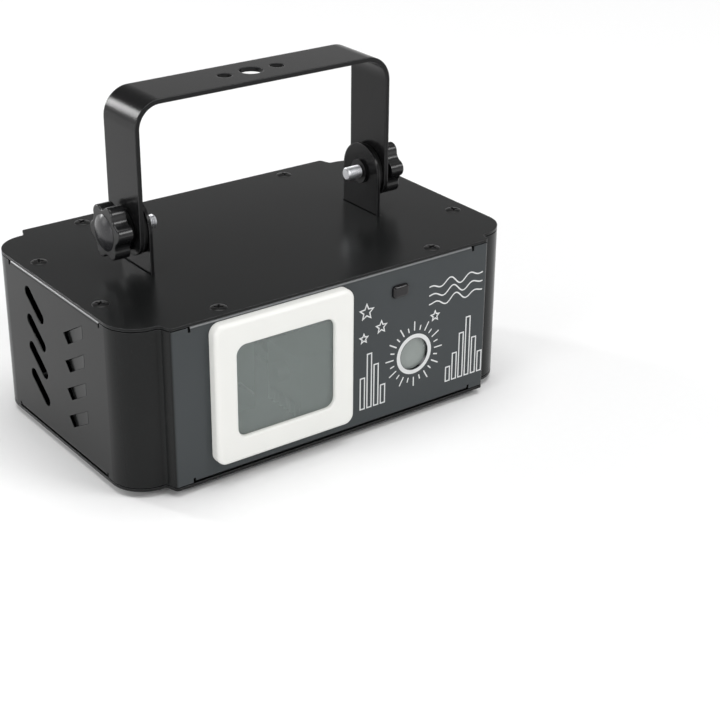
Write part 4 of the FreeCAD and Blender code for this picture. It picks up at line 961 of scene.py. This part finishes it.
@dataclass
class FrontPrint:
    """White line design on the front panel: a ring of rays, level bars, waves and stars."""

    line: float = 0.62 * MM
    ink: float = 0.04 * MM
    ring_inner: float = 7.7 * MM
    ring_outer: float = 9.6 * MM
    ray_count: int = 24
    ray_start: float = 11.6 * MM
    ray_short: float = 13.4 * MM
    ray_long: float = 15.6 * MM
    bar_width: float = 2.3 * MM
    bar_pitch: float = 3.7 * MM
    bar_foot: float = 12.5 * MM
    bars: tuple[tuple[float, tuple[float, ...]], ...] = (
        (11.5, (15.0, 26.0, 20.0, 9.0)), (59.5, (7.0, 13.0, 22.0, 29.0, 18.0, 10.0)))
    stars: tuple[Triple, ...] = ((14.6, 58.6, 3.7), (22.6, 49.6, 2.9), (13.2, 46.4, 2.2), (52.4, 47.0, 2.4))
    star_points: int = 5
    star_waist: float = 0.45
    waves: tuple[Spot, ...] = ((53.2, 0.0), (57.4, 0.9), (61.6, 1.8))
    wave_start: float = 49.0 * MM
    wave_end: float = 79.0 * MM
    wave_height: float = 2.1 * MM
    wave_count: float = 2.5
    wave_steps: int = 60

    def build(self) -> bpy.types.Object:
        """Draw the design on the panel's face.

        Returns:
            The printed piece.
        """
        low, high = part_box("outlet_lens")
        middle = ((low.x + high.x) / 2, (low.z + high.z) / 2)
        stroke = Stroke(PANEL_FRONT, self.line)
        stroke.ring(middle, self.ring_inner, self.ring_outer)
        self._rays(stroke, middle)
        for start, heights in self.bars:
            self._bars(stroke, start * MM, heights)
        for x, z, radius in self.stars:
            self._star(stroke, (x * MM, z * MM), radius * MM)
        for level, lag in self.waves:
            self._wave(stroke, level * MM, lag)
        return stroke.finish("front_print", self.ink)

    def _rays(self, stroke: Stroke, middle: Spot) -> None:
        """Draw short and long rays round the outlet."""
        for k in range(self.ray_count):
            way = Vector((math.cos(TURN * k / self.ray_count), math.sin(TURN * k / self.ray_count)))
            far = self.ray_short if k % 2 else self.ray_long
            stroke.line([tuple(Vector(middle) + way * radius) for radius in (self.ray_start, far)])

    def _bars(self, stroke: Stroke, start: float, heights: Iterable[float]) -> None:
        """Draw outlined level bars side by side."""
        for k, height in enumerate(heights):
            left, top = start + k * self.bar_pitch, self.bar_foot + height * MM
            right = left + self.bar_width
            stroke.line([(left, self.bar_foot), (right, self.bar_foot), (right, top), (left, top)], closed=True)

    def _star(self, stroke: Stroke, middle: Spot, radius: float) -> None:
        """Draw an outlined star with one point up."""
        spots = []
        corners = 2 * self.star_points
        for k in range(corners):
            reach = radius if k % 2 == 0 else self.star_waist * radius
            angle = TURN * (0.25 + k / corners)
            spots.append((middle[0] + reach * math.cos(angle), middle[1] + reach * math.sin(angle)))
        stroke.line(spots, closed=True)

    def _wave(self, stroke: Stroke, level: float, lag: float) -> None:
        """Draw one wave line that swells towards its middle."""
        spots = []
        for k in range(self.wave_steps + 1):
            share = k / self.wave_steps
            swell = math.sin(math.pi * share)
            height = self.wave_height * swell * math.sin(TURN * self.wave_count * share + lag)
            spots.append((self.wave_start + share * (self.wave_end - self.wave_start), level + height))
        stroke.line(spots)


@dataclass
class LouvreTongues:
    """Gently sloped tongues over the steeper floors of the side louvres, within the outline of the shell's own."""

    wall: float = 100.0 * MM
    first: float = 22.8 * MM
    pitch: float = 13.0 * MM
    count: int = 4
    front: float = -25.4 * MM
    upper: float = 6.8 * MM
    height: float = 6.2 * MM
    slant: float = math.radians(29.2)
    length_top: float = 20.1 * MM
    length_low: float = 15.9 * MM
    dip_run: float = 3.0 * MM
    dip_slope: float = 1.1 / 3.0
    floor_slope: float = 0.0959
    deep: float = 1.45 * MM
    bend: float = 0.8
    slack: float = 0.04 * MM
    start: float = 0.02
    steps: int = 16

    def build(self) -> bpy.types.Object:
        """Model the tongues of both walls.

        Returns:
            The piece on the housing.
        """
        shape = bmesh.new()
        for side in Side:
            for k in range(self.count):
                self._tongue(shape, side, self.first + k * self.pitch)
        return piece("louvre_tongues", shape, LOUVRE_SHADED_BLACK, "housing")

    def _tongue(self, shape: bmesh.types.BMesh, side: Side, middle: float) -> None:
        """Add one tongue, which fills the space between its own slope and the floor below it.

        Args:
            shape: Mesh that gets the tongue.
            side: Wall that it belongs to.
            middle: Height of the vent's middle.
        """
        edges = ((self.length_top, -self.slack), (self.length_low, self.slack - self.height))
        loops = []
        for k in range(self.steps + 1):
            share = self.start + (1 - self.start) * k / self.steps
            corners = []
            for length, shift in edges:
                run = share * length * math.cos(self.slant)
                height = middle + self.upper + shift - share * length * math.sin(self.slant)
                floor = self.dip_slope * min(run, self.dip_run) + self.floor_slope * max(0.0, run - self.dip_run)
                own = self.deep * (run / (self.length_top * math.cos(self.slant))) ** self.bend
                corners.append([(side.value * (self.wall - depth), self.front + run, height) for depth in (own, floor)])
            (top, top_floor), (low, low_floor) = corners
            loops.append([shape.verts.new(corner) for corner in (top, low, low_floor, top_floor)])
        for near, far in zip(loops, loops[1:]):
            bridge(shape, near, far)
        shape.faces.new(loops[0])
        shape.faces.new(loops[-1])


class Unit:
    """Group of pieces that belong together."""

    def build(self) -> None:
        """Model what the scene adds to the group, which is nothing unless the group says so."""

    def dress(self) -> None:
        """Finish the CAD nodes of the group."""
        raise NotImplementedError


@dataclass
class Housing(Unit):
    """Sheet-metal body with its plates, screws, feet and printed design."""

    up: Vector = Vector((0, 0, 1))
    down: Vector = Vector((0, 0, -1))

    def build(self) -> None:
        """Model the screws, the louvres' tongues and the print."""
        ScrewSet("top_screws", Head.RAISED, self.up).build()
        ScrewSet("base_screws", Head.RAISED, self.down).build()
        LouvreTongues().build()
        FrontPrint().build()

    def dress(self) -> None:
        """Finish the plates and the feet."""
        dress(SHELL_BLACK, "front_shell")
        dress(POWDER_BLACK, "rear_panel", "top_plate", "base_plate")
        dress(FOOT_RUBBER, "rubber_feet")


class WindowUnit(Unit):
    """White window frame, its pane, the round outlet's pane and the dark sensor window."""

    def dress(self) -> None:
        """Finish the frame and the panes."""
        dress(FRAME_WHITE, "window_bezel")
        dress(WINDOW_PANE, "window_glass")
        dress(SENSOR_DARK, "sensor_window")
        dress(OUTLET_PANE, "outlet_lens")


class Hanger(Unit):
    """Yoke, ears and clamping knobs."""

    def build(self) -> None:
        """Model the threaded studs."""
        for side in Side:
            StudThread(side).build()

    def dress(self) -> None:
        """Finish the yoke and both clamps."""
        dress(YOKE_BLACK, "yoke", "left_ear", "right_ear")
        for side in Side:
            dress(SCREW_BLACK, side.word + "_ear_nut", side.word + "_clamp_washer")
            dress(FOOT_RUBBER, side.word + "_friction_washer")
            dress(KNOB_BLACK, side.word + "_knob")
            dress(CAP_BLACK, side.word + "_knob_cap")


@dataclass
class RearUnit(Unit):
    """Fan, sockets, mains inlet, display and buttons of the rear panel."""

    out: Vector = Vector((0, 1, 0))
    buttons: int = 4

    def build(self) -> None:
        """Model the screws of fan and sockets."""
        ScrewSet("rear_screws", Head.PAN, self.out, shank=1.5 * MM, recess_span=2.9 * MM, recess_width=0.85 * MM,
                 recess_depth=0.9 * MM).build()

    def dress(self) -> None:
        """Finish the rear panel's pieces."""
        dress(SOCKET_BLACK, "dmx_in_socket", "dmx_out_socket", "power_inlet", "fan_frame", "fan_rotor",
              "display_module", "button_switches")
        dress(BUTTON_GREY, *["menu_button_%d" % (k + 1) for k in range(self.buttons)])
        dress(CHROME, "fan_guard", "inlet_pins", "microphone")
        dress(BRASS, "dmx_in_pins")
        dress(SENSOR_DARK, "display_window")
        dress(BOARD_GREEN, "control_board")
        dress(ZINC, "board_posts")


class Optics(Unit):
    """Scanner behind the window and the second laser behind the round outlet."""

    def dress(self) -> None:
        """Finish lasers, motors, mirrors and brackets."""
        dress(MILLED, "scanner_bracket", "laser_module", "laser_heat_sink", "beam_clamp")
        dress(ZINC, "scan_motors", "low_scan_shaft", "high_scan_shaft", "grating_motor")
        dress(MIRROR, "low_scan_mirror", "high_scan_mirror")
        dress(GRATING_FILM, "grating_wheel")
        dress(BRASS, "beam_laser")
        dress(SOCKET_BLACK, "sensor_receiver")


class PowerSupply(Unit):
    """Supply board on the base."""

    def dress(self) -> None:
        """Finish the board and its parts."""
        dress(BOARD_GREEN, "supply_board")
        dress(SOCKET_BLACK, "supply_parts")


@dataclass(frozen=True)
class SoftBox:
    """Soft lamp that points at the part."""

    name: str
    place: Triple
    aim: Triple
    width: float
    height: float
    power: float

    def build(self) -> None:
        """Hang the lamp."""
        data = bpy.data.lights.new(self.name, "AREA")
        data.shape = "RECTANGLE"
        data.size = self.width
        data.size_y = self.height
        data.energy = self.power
        lamp = added(self.name, data)
        lamp.location = self.place
        lamp.rotation_euler = (Vector(self.aim) - Vector(self.place)).to_track_quat("-Z", "Y").to_euler()
        LOG.info("lamp %s", self.name)


@dataclass
class Studio:
    """Floor, light and camera."""

    floor_half: float = 12.0
    sky: tuple[Spot, ...] = (
        (0.50, 0.80), (0.53, 0.92), (0.56, 0.95), (0.64, 0.42), (0.72, 0.22), (0.80, 0.10), (1.0, 0.20))
    sun_strength: float = 1.85
    sun_angle: float = math.radians(52)
    sun_lean: Triple = (0.0, math.radians(4), 0.0)
    boxes: tuple[SoftBox, ...] = (
        SoftBox("rim_box", (-1.30, 2.50, 1.05), (-0.03, 0.0, 0.08), width=0.32, height=1.0, power=26.0),
        SoftBox("side_box", (-2.36, 1.65, 0.88), (0.0, 0.0, 0.08), width=1.0, height=0.8, power=6.0),
        SoftBox("key_box", (0.81, -1.19, 1.08), (0.0, -0.03, 0.05), width=0.80, height=0.40, power=9.0),
        SoftBox("left_box", (-1.45, -0.40, 0.50), (0.0, -0.03, 0.05), width=0.6, height=0.6, power=7.5))
    camera_place: Triple = (-0.3790, -0.5852, 0.3545)
    azimuth: float = math.radians(-36.84)
    elevation: float = math.radians(26.01)
    roll: float = math.radians(0.57)
    lens: float = 84.0
    sensor: float = 36.0
    nearest: float = 0.01

    def build(self) -> None:
        """Set up the whole studio."""
        self._floor()
        self._sky()
        self._sun()
        for soft_box in self.boxes:
            soft_box.build()
        self._camera()
        bpy.context.scene.view_settings.view_transform = "Standard"

    def _floor(self) -> None:
        """Lay the pale floor."""
        half = self.floor_half
        mesh = bpy.data.meshes.new("floor")
        mesh.from_pydata([(-half, -half, 0), (half, -half, 0), (half, half, 0), (-half, half, 0)], [], [(0, 1, 2, 3)])
        mesh.materials.append(FLOOR_WHITE.material())
        floor = added("floor", mesh)

    def _sky(self) -> None:
        """Light the room evenly, brighter low down than overhead."""
        world = bpy.data.worlds.new("studio")
        world.use_nodes = True
        graph = Graph(world.node_tree)
        way = graph.node("ShaderNodeTexCoord", output="Generated")
        rise = graph.node("ShaderNodeSeparateXYZ", inputs={0: way}, output="Z")
        level = graph.ramp(0.5 + 0.5 * rise, self.sky)
        light = graph.node("ShaderNodeBackground", None, {"Color": level})
        graph.node("ShaderNodeOutputWorld", None, {"Surface": light})
        bpy.context.scene.world = world

    def _sun(self) -> None:
        """Hang a very soft overhead light."""
        data = bpy.data.lights.new("overhead", "SUN")
        data.energy = self.sun_strength
        data.angle = self.sun_angle
        added("overhead", data).rotation_euler = self.sun_lean

    def _camera(self) -> None:
        """Stand the camera where the photograph was taken from."""
        sin_a, cos_a = math.sin(self.azimuth), math.cos(self.azimuth)
        sin_e, cos_e = math.sin(self.elevation), math.cos(self.elevation)
        back = Vector((sin_a * cos_e, -cos_a * cos_e, sin_e))
        level = Vector((cos_a, sin_a, 0))
        upright = back.cross(level)
        right = level * math.cos(self.roll) + upright * math.sin(self.roll)
        up = upright * math.cos(self.roll) - level * math.sin(self.roll)
        data = bpy.data.cameras.new("photo_camera")
        data.lens = self.lens
        data.sensor_width = self.sensor
        data.clip_start = self.nearest
        camera = added("photo_camera", data)
        turn = Matrix((right, up, back)).transposed().to_4x4()
        camera.matrix_world = Matrix.Translation(self.camera_place) @ turn
        bpy.context.scene.camera = camera


def main() -> None:
    """Build and dress the projector, then the studio."""
    logging.basicConfig(level=logging.INFO, format="%(name)s: %(message)s")
    for unit in (Housing(), WindowUnit(), Hanger(), RearUnit(), Optics(), PowerSupply()):
        unit.build()
        unit.dress()
    Studio().build()


if __name__ == "__main__":
    main()
